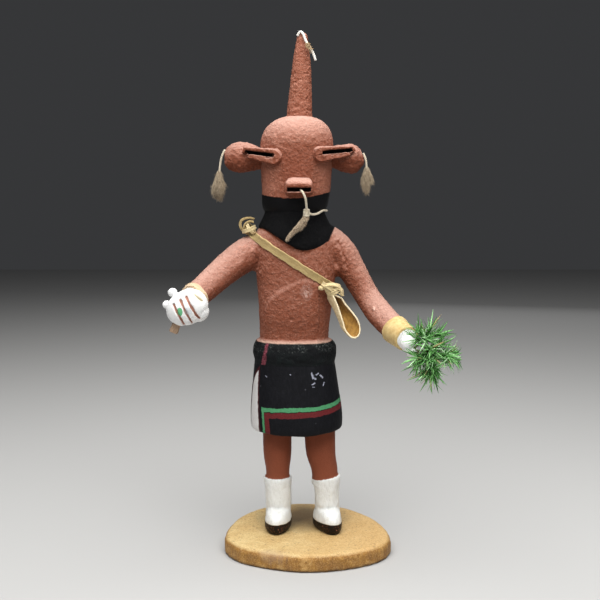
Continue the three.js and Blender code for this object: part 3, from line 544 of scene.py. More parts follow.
def crown_paint():
    """Mud paint over the rough stick of the cone."""
    r = Recipe("crown_paint", specular=0.12)
    sandy_mud(r)
    rub = r.noise(1.25, 4, 0.7, place=r.stretched(0.7, 1, 0.8))
    r.over(0.62 - 0.2 * rub, (0.245, 0.078, 0.043))
    r.over(rub.above(0.60, 0.12) * 0.30, (0.50, 0.25, 0.175))
    r.over(rub.below(0.38, 0.1) * 0.38, MUD_DEEP)
    return r.finish(r.rough, r.height + rub * 0.55, 0.65)


def hand_paint():
    """Thick white paint; the cuts between the fingers show red-brown."""
    r = Recipe("hand_paint", specular=0.35)
    fine = r.noise(0.5, 3, 0.6)
    smudge = r.noise(2.4, 4, 0.65)
    r.colour = r.mix(smudge.above(0.58, 0.3) * 0.35, (0.83, 0.835, 0.83), (0.64, 0.64, 0.66))
    r.over(fine.above(0.68, 0.1) * 0.3, (0.60, 0.47, 0.40))
    cut = r.attribute("groove") + (fine - 0.5) * 0.35 + (smudge - 0.5) * 0.35
    r.over(cut.above(0.30, 0.3) * 0.5, (0.68, 0.46, 0.42))
    brown = r.mix(r.attribute("low"), (0.38, 0.17, 0.135), (0.26, 0.085, 0.050))
    r.over(cut.above(0.60, 0.3), r.mix(smudge, brown, (0.40, 0.20, 0.13)))
    # Painted shadow in the crease by the cuff: cream at its edge, dark olive inside.
    bare = r.attribute("bare") + (fine - 0.5) * 0.5
    r.over(bare.above(0.35, 0.4) * 0.7, (0.66, 0.54, 0.37))
    r.over(bare.above(0.85, 0.25) * 0.8, (0.25, 0.20, 0.09))
    dot = r.attribute("dot") + (fine - 0.5) * 0.25
    r.over(dot.above(0.5, 0.15), (0.13, 0.43, 0.21))
    stain = r.attribute("stain") + (fine - 0.5) * 0.5
    r.over(stain.above(0.5, 0.5) * 0.5, (0.45, 0.50, 0.55))
    return r.finish(0.55 + 0.25 * smudge, fine * 0.25 + smudge * 0.3, 0.5)


def slab_wood():
    """Pale wood under a thin yellow varnish: short dark pores on top, end grain round the wall."""
    r = Recipe("slab_wood", specular=0.32)
    top = r.facing_up().above(0.72, 0.4)
    grain = r.noise(1.6, 5, 0.66, place=r.stretched(0.16, 1, 1, (0, 0, 0.05)), bend=0.4)
    speckle = r.noise(0.62, 3, 0.65)
    blotch = r.noise(13, 3, 0.6)
    r.colour = r.mix(grain.above(0.5, 0.45), (0.51, 0.335, 0.128), (0.71, 0.535, 0.255))
    r.over(blotch.above(0.48, 0.3) * 0.42, (0.52, 0.32, 0.12))
    r.over(blotch.below(0.42, 0.2) * 0.35, (0.80, 0.64, 0.33))
    warm = r.x.above(8.0, 50.0)
    r.over(warm * 0.5, (0.58, 0.34, 0.13))
    r.over(speckle.above(0.58, 0.14) * 0.30, (0.90, 0.77, 0.47))
    r.over(speckle.below(0.42, 0.12) * 0.52, (0.36, 0.21, 0.075))
    # A dark patch between and behind the feet: the doll's shadow painted on, with some grey dirt.
    reach = ((r.x + 3) * (r.x + 3) * 0.6 + (r.y - 22) * (r.y - 22) * 0.55) ** 0.5 + (blotch - 0.5) * 14
    r.over(reach.below(15.0, 17.0) * 0.90, (0.095, 0.060, 0.028))
    pores = r.spots(1.7, 0.20, place=r.stretched(0.5, 1.25, 1, (0, 0, 0.05))) * r.noise(6, 2).above(0.4, 0.3)
    r.over(pores * 0.68, (0.17, 0.095, 0.04))
    # The wall: upright streaks of end grain, deeper in colour, with a worn grey knot in front.
    streak = r.noise(1.7, 5, 0.7, place=r.stretched(1, 1, 0.22))
    patch = r.noise(8, 3, 0.6, place=r.stretched(1, 1, 1.5))
    wall = r.mix(streak.above(0.5, 0.5), (0.20, 0.078, 0.012), (0.50, 0.255, 0.052))
    wall = r.mix(patch.above(0.55, 0.14) * 0.45, wall, (0.25, 0.125, 0.045))
    wall = r.mix(patch.below(0.42, 0.14) * 0.45, wall, (0.68, 0.43, 0.165))
    wall = r.mix(speckle.below(0.44, 0.12) * 0.45, wall, (0.15, 0.075, 0.025))
    wall = r.mix(speckle.above(0.58, 0.12) * 0.25, wall, (0.80, 0.58, 0.28))
    wall = r.mix(r.spots(3.4, 0.10) * 0.6, wall, (0.08, 0.045, 0.02))
    r.over(1.0 - top, wall)
    knot = (((r.x + 20.0) / 9.0) ** 2.0 + ((r.y + 41.0) / 7.0) ** 2.0 + ((r.z - 8.0) / 4.4) ** 2.0) ** 0.5
    knot = knot + (streak - 0.5) * 1.4 + (patch - 0.5) * 1.2 + (speckle - 0.5) * 0.6
    r.over(knot.below(0.85, 0.7) * 0.45, (0.36, 0.235, 0.14))
    foot = r.z.below(1.2, 1.6) * r.noise(1.8, 3, 0.6).above(0.42, 0.2)
    r.over(foot * 0.8, (0.06, 0.038, 0.024))
    height = grain * 0.35 * top + streak * 0.7 * (1.0 - top) + speckle * 0.35 - pores * 0.35
    return r.finish(0.5 + 0.2 * blotch, height, 0.5, coat=top * 0.10)


def hide(name, pale, deep, specular=0.3):
    """Soft tanned hide: stretched pores along the strip, pale edges (rubbed, with a painted highlight on
    their roll) and darker creases.
    """
    r = Recipe(name, specular=specular, sheen=0.12)
    spot = r.node("ShaderNodeUVMap").outputs["UV"]
    across = Value(r, r.node("ShaderNodeSeparateXYZ", Vector=spot).outputs["Y"])
    along = r.node("ShaderNodeMapping", {"vector_type": "POINT"}, Vector=spot)
    along.inputs["Scale"].default_value = (0.32, 1.6, 1)
    fibre = r.noise(1.1, 5, 0.7, place=along.outputs[0])
    pore = r.noise(0.38, 3, 0.6)
    blotch = r.noise(5.5, 3, 0.6)
    r.colour = r.mix(fibre.above(0.5, 0.5), deep, pale)
    r.over(blotch.above(0.5, 0.4) * 0.4, scaled(deep, 0.72))
    # Paler edges: rubbed wear, and a painted highlight on the rolled edges.
    rim = (across.size() + (fibre - 0.5) * 0.9).above(1.75, 0.7)
    r.over(rim * 0.8, scaled(pale, 1.35))
    r.over(r.spots(2.1, 0.1) * 0.4, scaled(deep, 0.5))
    return r.finish(0.72 + 0.15 * pore, fibre * 0.4 + pore * 0.25, 0.45)


def pocket_hide():
    """Thin hide of the pocket: cream outside and along its rim, ochre suede inside."""
    r = Recipe("pouch_hide", specular=0.2, sheen=0.12)
    nap = r.noise(0.45, 3, 0.65)
    streak = r.noise(1.3, 4, 0.6, place=r.stretched(1, 1, 0.3, (0, 0.35, 0)))
    blotch = r.noise(5, 3, 0.6)
    cream = r.mix(streak.above(0.5, 0.5), (0.50, 0.36, 0.17), (0.76, 0.63, 0.40))
    cream = r.mix(blotch.below(0.45, 0.2) * 0.4, cream, (0.42, 0.29, 0.13))
    ochre = r.mix(streak.above(0.5, 0.4), (0.21, 0.102, 0.018), (0.385, 0.21, 0.044))
    ochre = r.mix(blotch.above(0.52, 0.2) * 0.35, ochre, (0.19, 0.092, 0.02))
    r.colour = r.mix(r.attribute("inner").above(0.5, 0.3), cream, ochre)
    rim = r.attribute("rim") + (nap - 0.5) * 0.5
    r.over(rim.above(0.5, 0.4) * 0.9, (0.86, 0.74, 0.50))
    r.over(nap.below(0.38, 0.12) * 0.3, (0.25, 0.15, 0.06))
    return r.finish(0.8, nap * 0.3 + streak * 0.4, 0.45)


def cuff_hide(name, pale, deep):
    """Thin hide of a cuff, mottled paler and darker."""
    r = Recipe(name, specular=0.3, sheen=0.12)
    pore = r.noise(0.4, 3, 0.65)
    crease = r.noise(2.2, 4, 0.6)
    r.colour = r.mix(crease.above(0.5, 0.5), deep, pale)
    r.over(pore.below(0.36, 0.1) * 0.3, scaled(deep, 0.7))
    r.over(r.noise(6, 2).above(0.55, 0.3) * 0.25, scaled(deep, 0.8))
    return r.finish(0.75, pore * 0.3 + crease * 0.4, 0.4)


def cotton(name, pale, deep):
    """Undyed cotton, darker and paler in random tufts, with pale hairs."""
    r = Recipe(name, specular=0.2, sheen=0.3)
    tuft = r.noise(1.6, 4, 0.65)
    hair = r.noise(0.3, 2, 0.6)
    r.colour = r.mix(tuft.above(0.5, 0.5), deep, pale)
    r.over(hair.above(0.6, 0.2) * 0.3, scaled(pale, 1.3))
    return r.finish(0.9, hair * 0.3, 0.4)


def plain_floor():
    r = Recipe("floor_card", specular=0.2)
    r.colour = (0.45, 0.45, 0.445)
    return r.finish(0.85)


# ---- Mesh kit ------------------------------------------------------------------------------------

def new_piece(name, shape):
    """A smooth mesh object made from a bmesh, which it uses up."""
    mesh = bpy.data.meshes.new(name)
    shape.to_mesh(mesh)
    shape.free()
    mesh.polygons.foreach_set("use_smooth", [True] * len(mesh.polygons))
    piece = bpy.data.objects.new(name, mesh)
    bpy.context.scene.collection.objects.link(piece)
    return piece


def fit(piece, material, slot, *nodes):
    """Gives a finished piece its material, hides the solids it stands for, and lets it ride on the doll; slot
    is not used.
    """
    piece.data.materials.clear()
    piece.data.materials.append(material)
    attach(piece, "root")
    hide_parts(*nodes)


def settle(piece):
    """Makes the result of a piece's modifiers its plain mesh."""
    seen = piece.evaluated_get(bpy.context.evaluated_depsgraph_get())
    mesh = bpy.data.meshes.new_from_object(seen)
    piece.modifiers.clear()
    piece.data = mesh
    mesh.polygons.foreach_set("use_smooth", [True] * len(mesh.polygons))


def carve(piece, grain, passes):
    """Fuses a piece's overlapping forms into one skin of small faces, rounded a little."""
    fuse = piece.modifiers.new("fuse", "REMESH")
    fuse.mode = "VOXEL"
    fuse.voxel_size = grain * MM
    ease = piece.modifiers.new("ease", "SMOOTH")
    ease.factor = 0.5
    ease.iterations = passes
    settle(piece)


def places(piece):
    """The piece's vertices in millimetres, one row each."""
    flat = np.empty(3 * len(piece.data.vertices))
    piece.data.vertices.foreach_get("co", flat)
    return flat.reshape(-1, 3) / MM


def facings(piece):
    flat = np.empty(3 * len(piece.data.vertices))
    piece.data.vertices.foreach_get("normal", flat)
    return flat.reshape(-1, 3)


def move_to(piece, spots):
    piece.data.vertices.foreach_set("co", (spots * MM).ravel())
    piece.data.update()


def swell(piece, lift):
    """Moves each vertex outwards by its lift in millimetres."""
    move_to(piece, places(piece) + facings(piece) * lift[:, None])


def record_on(piece, name, values):
    layer = piece.data.attributes.new(name, "FLOAT", "POINT")
    layer.data.foreach_set("value", np.asarray(values, dtype=float))


def lumps(spots, size, seed, stretch=(1, 1, 1)):
    """Smooth random values from -1 to 1, in lumps of a size, at each spot."""
    table = np.random.default_rng(seed).uniform(-1, 1, 4096)
    scaled = spots / (size * np.array(stretch, dtype=float))
    cell = np.floor(scaled).astype(np.int64)
    part = scaled - cell
    part = part * part * (3 - 2 * part)
    total = np.zeros(len(spots))
    for corner in itertools.product((0, 1), repeat=3):
        at = cell + corner
        index = (at[:, 0] * 73856093 ^ at[:, 1] * 19349663 ^ at[:, 2] * 83492791) % 4096
        total += table[index] * np.prod(np.where(corner, part, 1 - part), axis=1)
    return total


def bumps(spots, *rows):
    """A sum of random values at each spot, one for each row (amount, size, seed, stretch)."""
    return sum(amount * lumps(spots, *row) for amount, *row in rows)


def units(rows):
    return rows / np.linalg.norm(rows, axis=1)[:, None]


def lengths_along(path):
    """How far each point of a path is from its start."""
    return np.concatenate([[0], np.cumsum(np.linalg.norm(np.diff(path, axis=0), axis=1))])


def eased(rows, times):
    """The rows of a closed loop, each drawn to its neighbours a number of times."""
    for _ in range(times):
        rows = (np.roll(rows, 1, axis=0) + 2 * rows + np.roll(rows, -1, axis=0)) / 4
    return rows


def step(value, low, high):
    """0 below low, 1 above high, with a smooth rise between."""
    part = np.clip((value - low) / np.maximum(high - low, 1e-9), 0, 1)
    return part * part * (3 - 2 * part)


def line_distance(spots, first, last):
    """Distance of each row of spots from the line between two points, in as many dimensions."""
    first, last = np.array(first, float), np.array(last, float)
    run = last - first
    share = np.clip((spots - first) @ run / (run @ run), 0, 1)
    return np.linalg.norm(spots - first - share[:, None] * run, axis=1)


def skin(shape, rings):
    """Adds a tube over rings of equally many points in millimetres, with flat ends, to a bmesh."""
    made = [[shape.verts.new(Vector(spot) * MM) for spot in ring] for ring in rings]
    count = len(made[0])
    for low, high in zip(made, made[1:]):
        for j in range(count):
            k = (j + 1) % count
            shape.faces.new((low[j], low[k], high[k], high[j]))
    shape.faces.new(made[0][::-1])
    shape.faces.new(made[-1])


def ring(middle, u, w, a, b, power=2.0, count=72):
    """A superellipse of half sizes a and b on the axes u and w; power 2 is an ellipse."""
    turn = 2 * np.pi * np.arange(count) / count
    c, s = np.cos(turn), np.sin(turn)
    along = np.sign(c) * np.abs(c) ** (2 / power) * a
    across = np.sign(s) * np.abs(s) ** (2 / power) * b
    return np.array(middle, float) + along[:, None] * np.array(u) + across[:, None] * np.array(w)


def between(rows, t):
    """Values between the rows of a table, on a smooth curve through them."""
    rows = np.array(rows, float)
    place = min(max(t, 0), 1) * (len(rows) - 1)
    i = min(int(place), len(rows) - 2)
    f = place - i
    p0, p1, p2, p3 = (rows[min(max(k, 0), len(rows) - 1)] for k in (i - 1, i, i + 1, i + 2))
    bent = (2 * p0 - 5 * p1 + 4 * p2 - p3) * f ** 2
    twist = (3 * p1 - p0 - 3 * p2 + p3) * f ** 3
    return 0.5 * (2 * p1 + (p2 - p0) * f + bent + twist)


def stack(shape, levels, power=2.2, steps=30, count=72, top=None):
    """An upright form through levels (z, middle x, middle y, half width, half depth)."""
    rings = []
    for i in range(steps + 1):
        z, x, y, a, b = between(levels, i / steps)
        level = ring((x, y, z), (1, 0, 0), (0, 1, 0), a, b, power, count)
        if top is not None:
            level[:, 2] = np.minimum(level[:, 2], top(level[:, 0]) + (i - steps) * 1e-3)
        rings.append(level)
    skin(shape, rings)


def station(points, t):
    """A limb's middle, two cross directions, half sizes and way forward at a share of its length."""
    *middle, a, b = between(points, t)
    forward = Vector(between(points, t + 0.01)[:3] - between(points, t - 0.01)[:3]).normalized()
    u = Vector((0, 1, 0)).cross(forward).normalized()
    return middle, u, forward.cross(u), a, b, forward


def limb(shape, points, power=2.0, steps=24, count=40, first=0.0, last=1.0):
    """A rounded limb along points (x, y, z, half width, half depth), or a stretch of it."""
    rings = []
    for i in range(steps + 1):
        middle, u, w, a, b, _ = station(points, first + (last - first) * i / steps)
        rings.append(ring(middle, u, w, a, b, power, count))
    skin(shape, rings)


def egg(shape, middle, half, turn=(0, 0, 0), detail=40):
    """An egg of half sizes, turned by degrees about X, then Y, then Z."""
    spin = Matrix.Rotation(math.radians(turn[2]), 4, "Z")
    spin @= Matrix.Rotation(math.radians(turn[1]), 4, "Y")
    spin @= Matrix.Rotation(math.radians(turn[0]), 4, "X")
    place = Matrix.Translation(Vector(middle) * MM) @ spin @ Matrix.Diagonal((*half, 1))
    made = bmesh.ops.create_uvsphere(shape, u_segments=detail, v_segments=detail // 2, radius=MM)
    bmesh.ops.transform(shape, matrix=place, verts=made["verts"])


def add_eggs(shape, rows):
    for row in rows:
        egg(shape, *row)


def merged_copy(name, node):
    """A copy of a solid's mesh with its loose triangles merged."""
    shape = bmesh.new()
    shape.from_mesh(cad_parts[node].data)
    bmesh.ops.remove_doubles(shape, verts=shape.verts, dist=1e-6)
    return new_piece(name, shape)


def carved(name, shape, grain, passes):
    """A piece made from a bmesh and carved at once, and its vertices in millimetres."""
    piece = new_piece(name, shape)
    carve(piece, grain, passes)
    return piece, places(piece)


def carved_on(name, node, support, grain, passes):
    """A solid's copy, sunk a little into its support and carved, and its vertices in millimetres."""
    piece = merged_copy(name, node)
    bed(piece, support)
    carve(piece, grain, passes)
    return piece, places(piece)


def surface(*pieces):
    """What nearest points and rays are found on."""
    corners, faces = [], []
    for piece in pieces:
        start = len(corners)
        corners.extend(vertex.co.copy() for vertex in piece.data.vertices)
        faces.extend([start + i for i in face.vertices] for face in piece.data.polygons)
    return BVHTree.FromPolygons(corners, faces)


def bed(piece, support, reach=0.75, depth=0.6):
    """Sinks what lies close to a support under its surface, so that the piece sits tight."""
    for vertex in piece.data.vertices:
        spot, normal, _, _ = support.find_nearest(vertex.co, reach * MM)
        if spot is not None:
            vertex.co = spot - normal * depth * MM
    piece.data.update()


def smooth_path(points, steps, closed=False):
    """Evenly spaced points on a smooth curve through given ones, in millimetres."""
    points = np.array(points, float)
    if closed:
        rows = np.vstack([points[-1:], points, points[:2]])
        fine = np.array([between(rows, (1 + t) / (len(rows) - 1))
                         for t in np.linspace(0, len(points), 16 * len(points) + 1)])
    else:
        fine = np.array([between(points, t) for t in np.linspace(0, 1, 16 * len(points))])
    run = lengths_along(fine)
    wanted = np.linspace(0, run[-1], steps + 1)
    even = np.stack([np.interp(wanted, run, fine[:, k]) for k in range(3)], axis=1)
    return even[:-1] if closed else even


def tangents(path, closed=False):
    if closed:
        runs = np.roll(path, -1, axis=0) - np.roll(path, 1, axis=0)
    else:
        runs = np.gradient(path, axis=0)
    return units(runs)


def carried_frames(path):
    """Two cross directions at each point of a path, turned as little as can be from point to point."""
    runs = tangents(path)
    side = Vector(runs[0]).orthogonal().normalized()
    sides = []
    for run in runs:
        run = Vector(run)
        side = (side - run * side.dot(run)).normalized()
        sides.append(side.copy())
    return np.array(sides), np.cross(runs, np.array(sides))


def tube(shape, path, radii, sides=7):
    """A closed tube with a radius, or one for each point, along a path."""
    u, w = carried_frames(path)
    radii = np.broadcast_to(radii, len(path))
    rings = [ring(p, u[i], w[i], radii[i], radii[i], 2, sides) for i, p in enumerate(path)]
    skin(shape, rings)


# The outline of a leather strip: across in halves of its width, then up in thicknesses.
STRIP_SECTION = [
    (-0.94, -0.05), (-1.0, 0.35), (-0.97, 0.85), (-0.86, 1.06), (-0.66, 1.0), (-0.33, 0.9), (0, 0.87),
    (0.33, 0.9), (0.66, 1.0), (0.86, 1.06), (0.97, 0.85), (1.0, 0.35), (0.94, -0.05), (0.5, 0), (0, 0),
    (-0.5, 0),
]


def strip(name, path, ups, width, thickness, closed=False, seed=1, uneven=0.12):
    """A leather strip with rolled edges along a path; ups point out of its upper face."""
    runs = tangents(path, closed)
    ups = units(ups - (np.sum(ups * runs, axis=1))[:, None] * runs)
    across = np.cross(runs, ups)
    wander = lumps(path, 3.1, seed)
    widen = 1 + uneven * lumps(path, 2.2, seed + 1)
    shape = bmesh.new()
    flat = shape.loops.layers.uv.new("strip")
    rows = []
    for i, spot in enumerate(path):
        row = []
        for u, v in STRIP_SECTION:
            side = u * widen[i] * width / 2 + wander[i] * uneven
            row.append(shape.verts.new(Vector(spot + across[i] * side + ups[i] * v * thickness) * MM))
        rows.append(row)
    length = lengths_along(path)
    step_length = length[1] - length[0]
    count = len(STRIP_SECTION)
    for i in range(len(rows) if closed else len(rows) - 1):
        ahead = rows[(i + 1) % len(rows)]
        for j in range(count):
            k = (j + 1) % count
            face = shape.faces.new((rows[i][j], rows[i][k], ahead[k], ahead[j]))
            corners = ((0, j), (0, k), (1, k), (1, j))
            for loop, (on, at) in zip(face.loops, corners):
                loop[flat].uv = (length[i] + on * step_length, STRIP_SECTION[at][0] * width / 2)
    if not closed:
        for row in (rows[0][::-1], rows[-1]):
            cap = shape.faces.new(row)
            for loop in cap.loops:
                loop[flat].uv = (0, width / 2)
    bmesh.ops.recalc_face_normals(shape, faces=shape.faces)
    return new_piece(name, shape)


# ---- The carved figure ---------------------------------------------------------------------------

HEAD_LEVELS = [
    (HEAD_BOTTOM, -7.4, 0.5, 16.1, 16.1), (HEAD_BOTTOM + 2, -7.2, 0.3, 17.8, 17.6),
    (HEAD_BOTTOM + 8, -6.7, 0, 19, 18.8), (HEAD_BOTTOM + 18, -6.3, 0, 19.6, 19.6),
    (HEAD_BOTTOM + 30, -6.1, 0, 20.4, 20.4),
]
TRUNK_LEVELS = [
    (BELT_TOP - 4, -7.6, 1, 19.4, 14.8), (BELT_TOP + 8, -7.4, 0.6, 19.9, 15.6),
    (BELT_TOP + 20, -6.9, 0.2, 21, 16.8), (BELT_TOP + 33, -6.5, 0.2, 22.2, 17.4),
    (BELT_TOP + 45, -6.6, 0.4, 23.6, 17.8), (BELT_TOP + 55, -6.7, 0.6, 24.2, 17.4),
    (BELT_TOP + 62, -6.7, 0.6, 22, 16), (SHOULDER, -6.7, 0.6, 16.5, 13),
]
BELT_LEVELS = [
    (BELT_BOTTOM - 1, -7.2, 1, 22.4, 17.2), (BELT_BOTTOM + 1.4, -7.2, 1, 23.4, 18.4),
    (BELT_BOTTOM + 6, -7.2, 1, 23.9, 18.8), (BELT_TOP - 3.6, -7.2, 1, 23.5, 18.4),
    (BELT_TOP - 1, -7.4, 1, 22, 17.2), (BELT_TOP, -7.6, 1, 20.2, 15.8),
]
KILT_LEVELS = [
    (HEM, -6.1, 1, 25.2, 20.4), (HEM + 2.2, -6.1, 1, 26.4, 21.6), (HEM + 12, -6.3, 1, 26.2, 21.4),
    (HEM + 26, -7, 1, 24.6, 19.6), (BELT_BOTTOM + 2, -7.4, 1, 23, 17.8),
]
LEGS = [
    {"ankle": (-17.2, 1.8, 6.9, 7.4), "knee": (-17.4, 1.5, 8.2, 8.8), "top": (-17.4, 1.5, 8.5, 9.2)},
    {"ankle": (10.1, 1.8, 7.5, 7.6), "knee": (7.9, 1.5, 8.7, 8.8), "top": (7.1, 1.5, 9.2, 9.4)},
]
BOOTS = [
    {"x": -16.8, "shaft": 8.1, "ankle": 7.5, "toe": (-17.9, -14.6), "tilt": 0.02},
    {"x": 11.6, "shaft": 8.1, "ankle": 7.1, "toe": (14.9, -14.6), "tilt": -0.17},
]
HEEL = 10.5
ARMS = {
    "right": [
        (-20, 0.6, 172.5, 11, 10.6), (-33.4, -1.8, 170.4, 9.7, 10), (-46.9, -10, 160.8, 8.3, 8.9),
        (-57.9, -22, 151, 7.4, 7.9), (-62.6, -28.5, 147, 6.3, 6.8),
    ],
    "left": [
        (8, 0.6, 178, 10.2, 10.6), (17.4, 0, 172.6, 9.2, 10), (25.8, -1.2, 160, 7.7, 8.6),
        (34, -4.2, 146, 7.0, 7.7), (40.6, -13.5, 137.3, 7.4, 7.6), (46.9, -25.6, 130.8, 7.0, 7.0),
        (53, -37, 126.4, 5.8, 6),
    ],
}
ARMPITS = [  # plaster between arm and trunk: middle, half sizes and turn
    ((-30.0, -1.5, 165.4), (4.9, 7.5, 5.0), (0, 25, 0)), ((16.2, -1, 162.6), (4.6, 7.5, 5.6), (0, -20, 0)),
]
WRIST = {"right": 0.88, "left": 0.93}  # where along its arm each hand starts, under the cuff


def add_head(shape):
    levels = list(HEAD_LEVELS)
    dome_foot = HEAD_TOP - DOME_HEIGHT
    power = 2.6
    for i in range(1, 25):
        t = math.sin(math.pi / 2 * i / 24.6)
        half = HEAD_HALF * (1 - t ** power) ** (1 / power)
        levels.append((dome_foot + t * DOME_HEIGHT, -6 + 0.7 * t, 0, half, half))
    stack(shape, levels, 2.15, steps=2 * (len(levels) - 1))


def scarf_hem(turn):
    front = np.maximum(0, -np.sin(turn - SCARF_TURN))
    return SCARF_SIDE - (SCARF_SIDE - SCARF_TIP) * front ** SCARF_POINT


def add_scarf(shape):
    flare = [(0, 17.4, 17.2), (0.35, 18.9, 18.2), (0.85, 21.2, 20), (1, 20.2, 19)]
    hem = scarf_hem(2 * np.pi * np.arange(96) / 96)
    rings = []
    for i in range(25):
        down, a, b = between(flare, 1 - i / 24)
        level = ring((*SCARF_MIDDLE, 0), (1, 0, 0), (0, 1, 0), a - 0.5, b, 2.1, 96)
        level[:, 2] = HEAD_BOTTOM - down * (HEAD_BOTTOM - hem)
        rings.append(level)
    skin(shape, rings)


def add_boot(shape, x, shaft, ankle, toe, tilt):
    """A moccasin: an upright shaft, and a foot that narrows to a round toe on a dark sole."""
    stack(shape, [
        (FOOT_BOTTOM + 4, x + (toe[0] - x) * 0.3, 2.4, 7.4, 7.8), (FOOT_BOTTOM + 14, x, 2, ankle, 7.6),
        (BOOT_TOP - 8, x - 0.2, 1.8, ankle + 0.1, 7.8), (BOOT_TOP - 1, x - 0.4, 1.8, shaft, 8.4),
        (BOOT_TOP + 2, x - 0.4, 1.8, shaft - 0.2, 8.2),
    ], 2.3, count=56, top=lambda across: BOOT_TOP - 0.4 - (across - x) * math.tan(tilt))
    levels = [
        (SLAB_TOP - 0.1, 1.7, 0), (FOOT_BOTTOM + 0.6, 1.0, 0), (FOOT_BOTTOM + 1.4, 0.4, 0),
        (SOLE_TOP - 1, 0, 0), (SOLE_TOP + 0.6, 0, 0), (SOLE_TOP + 3.4, 0.5, 0.6), (SOLE_TOP + 7, 2, 2.6),
        (SOLE_TOP + 9.6, 4.2, 4.4),
    ]
    turn = 2 * np.pi * np.arange(64) / 64
    along = np.sin(turn)
    rings = []
    for i in range(29):
        z, inset, lift = between(levels, i / 28)
        y = np.where(along < 0, -along * (toe[1] + inset), along * (HEEL - inset))
        half = (7.9 - inset) * (1 + 0.06 * along)
        across = x + y / toe[1] * (toe[0] - x) + half * np.cos(turn)
        rings.append(np.stack([across, y, z - lift * np.maximum(0, -along) ** 2], axis=1))
    skin(shape, rings)


def shape_figure():
    shape = bmesh.new()
    add_head(shape)
    add_scarf(shape)
    stack(shape, TRUNK_LEVELS, 2.35)
    stack(shape, BELT_LEVELS, 2.3)
    stack(shape, KILT_LEVELS, 2.3)
    for leg in LEGS:
        stack(shape, [
            (BOOT_TOP - 5, *leg["ankle"]), (BOOT_TOP + 3, *leg["ankle"]),
            ((BOOT_TOP + HEM) / 2, *leg["knee"]), (LEG_TOP, *leg["top"]),
        ], 2.1, count=56)
    for boot in BOOTS:
        add_boot(shape, **boot)
    for side, points in ARMS.items():
        limb(shape, points, 2.1, last=WRIST[side] + 0.03)
    add_eggs(shape, ARMPITS)
    return new_piece("figure", shape)


ARM_SEAMS = [  # front view (x, z) of the plaster seams where the arms are set on
    ((-30.7, 180), (-29, 171)), ((-29, 171), (-28, 160)),
    ((17.2, 177.3), (21.3, 165.6)), ((21.3, 165.6), (17.2, 158.1)),
]
BELLY_RIM = [(-23.5, 139), (-21.9, 143.1), (-16.9, 148.7), (-7, 154), (-0.1, 155.9), (6.3, 153.1)]


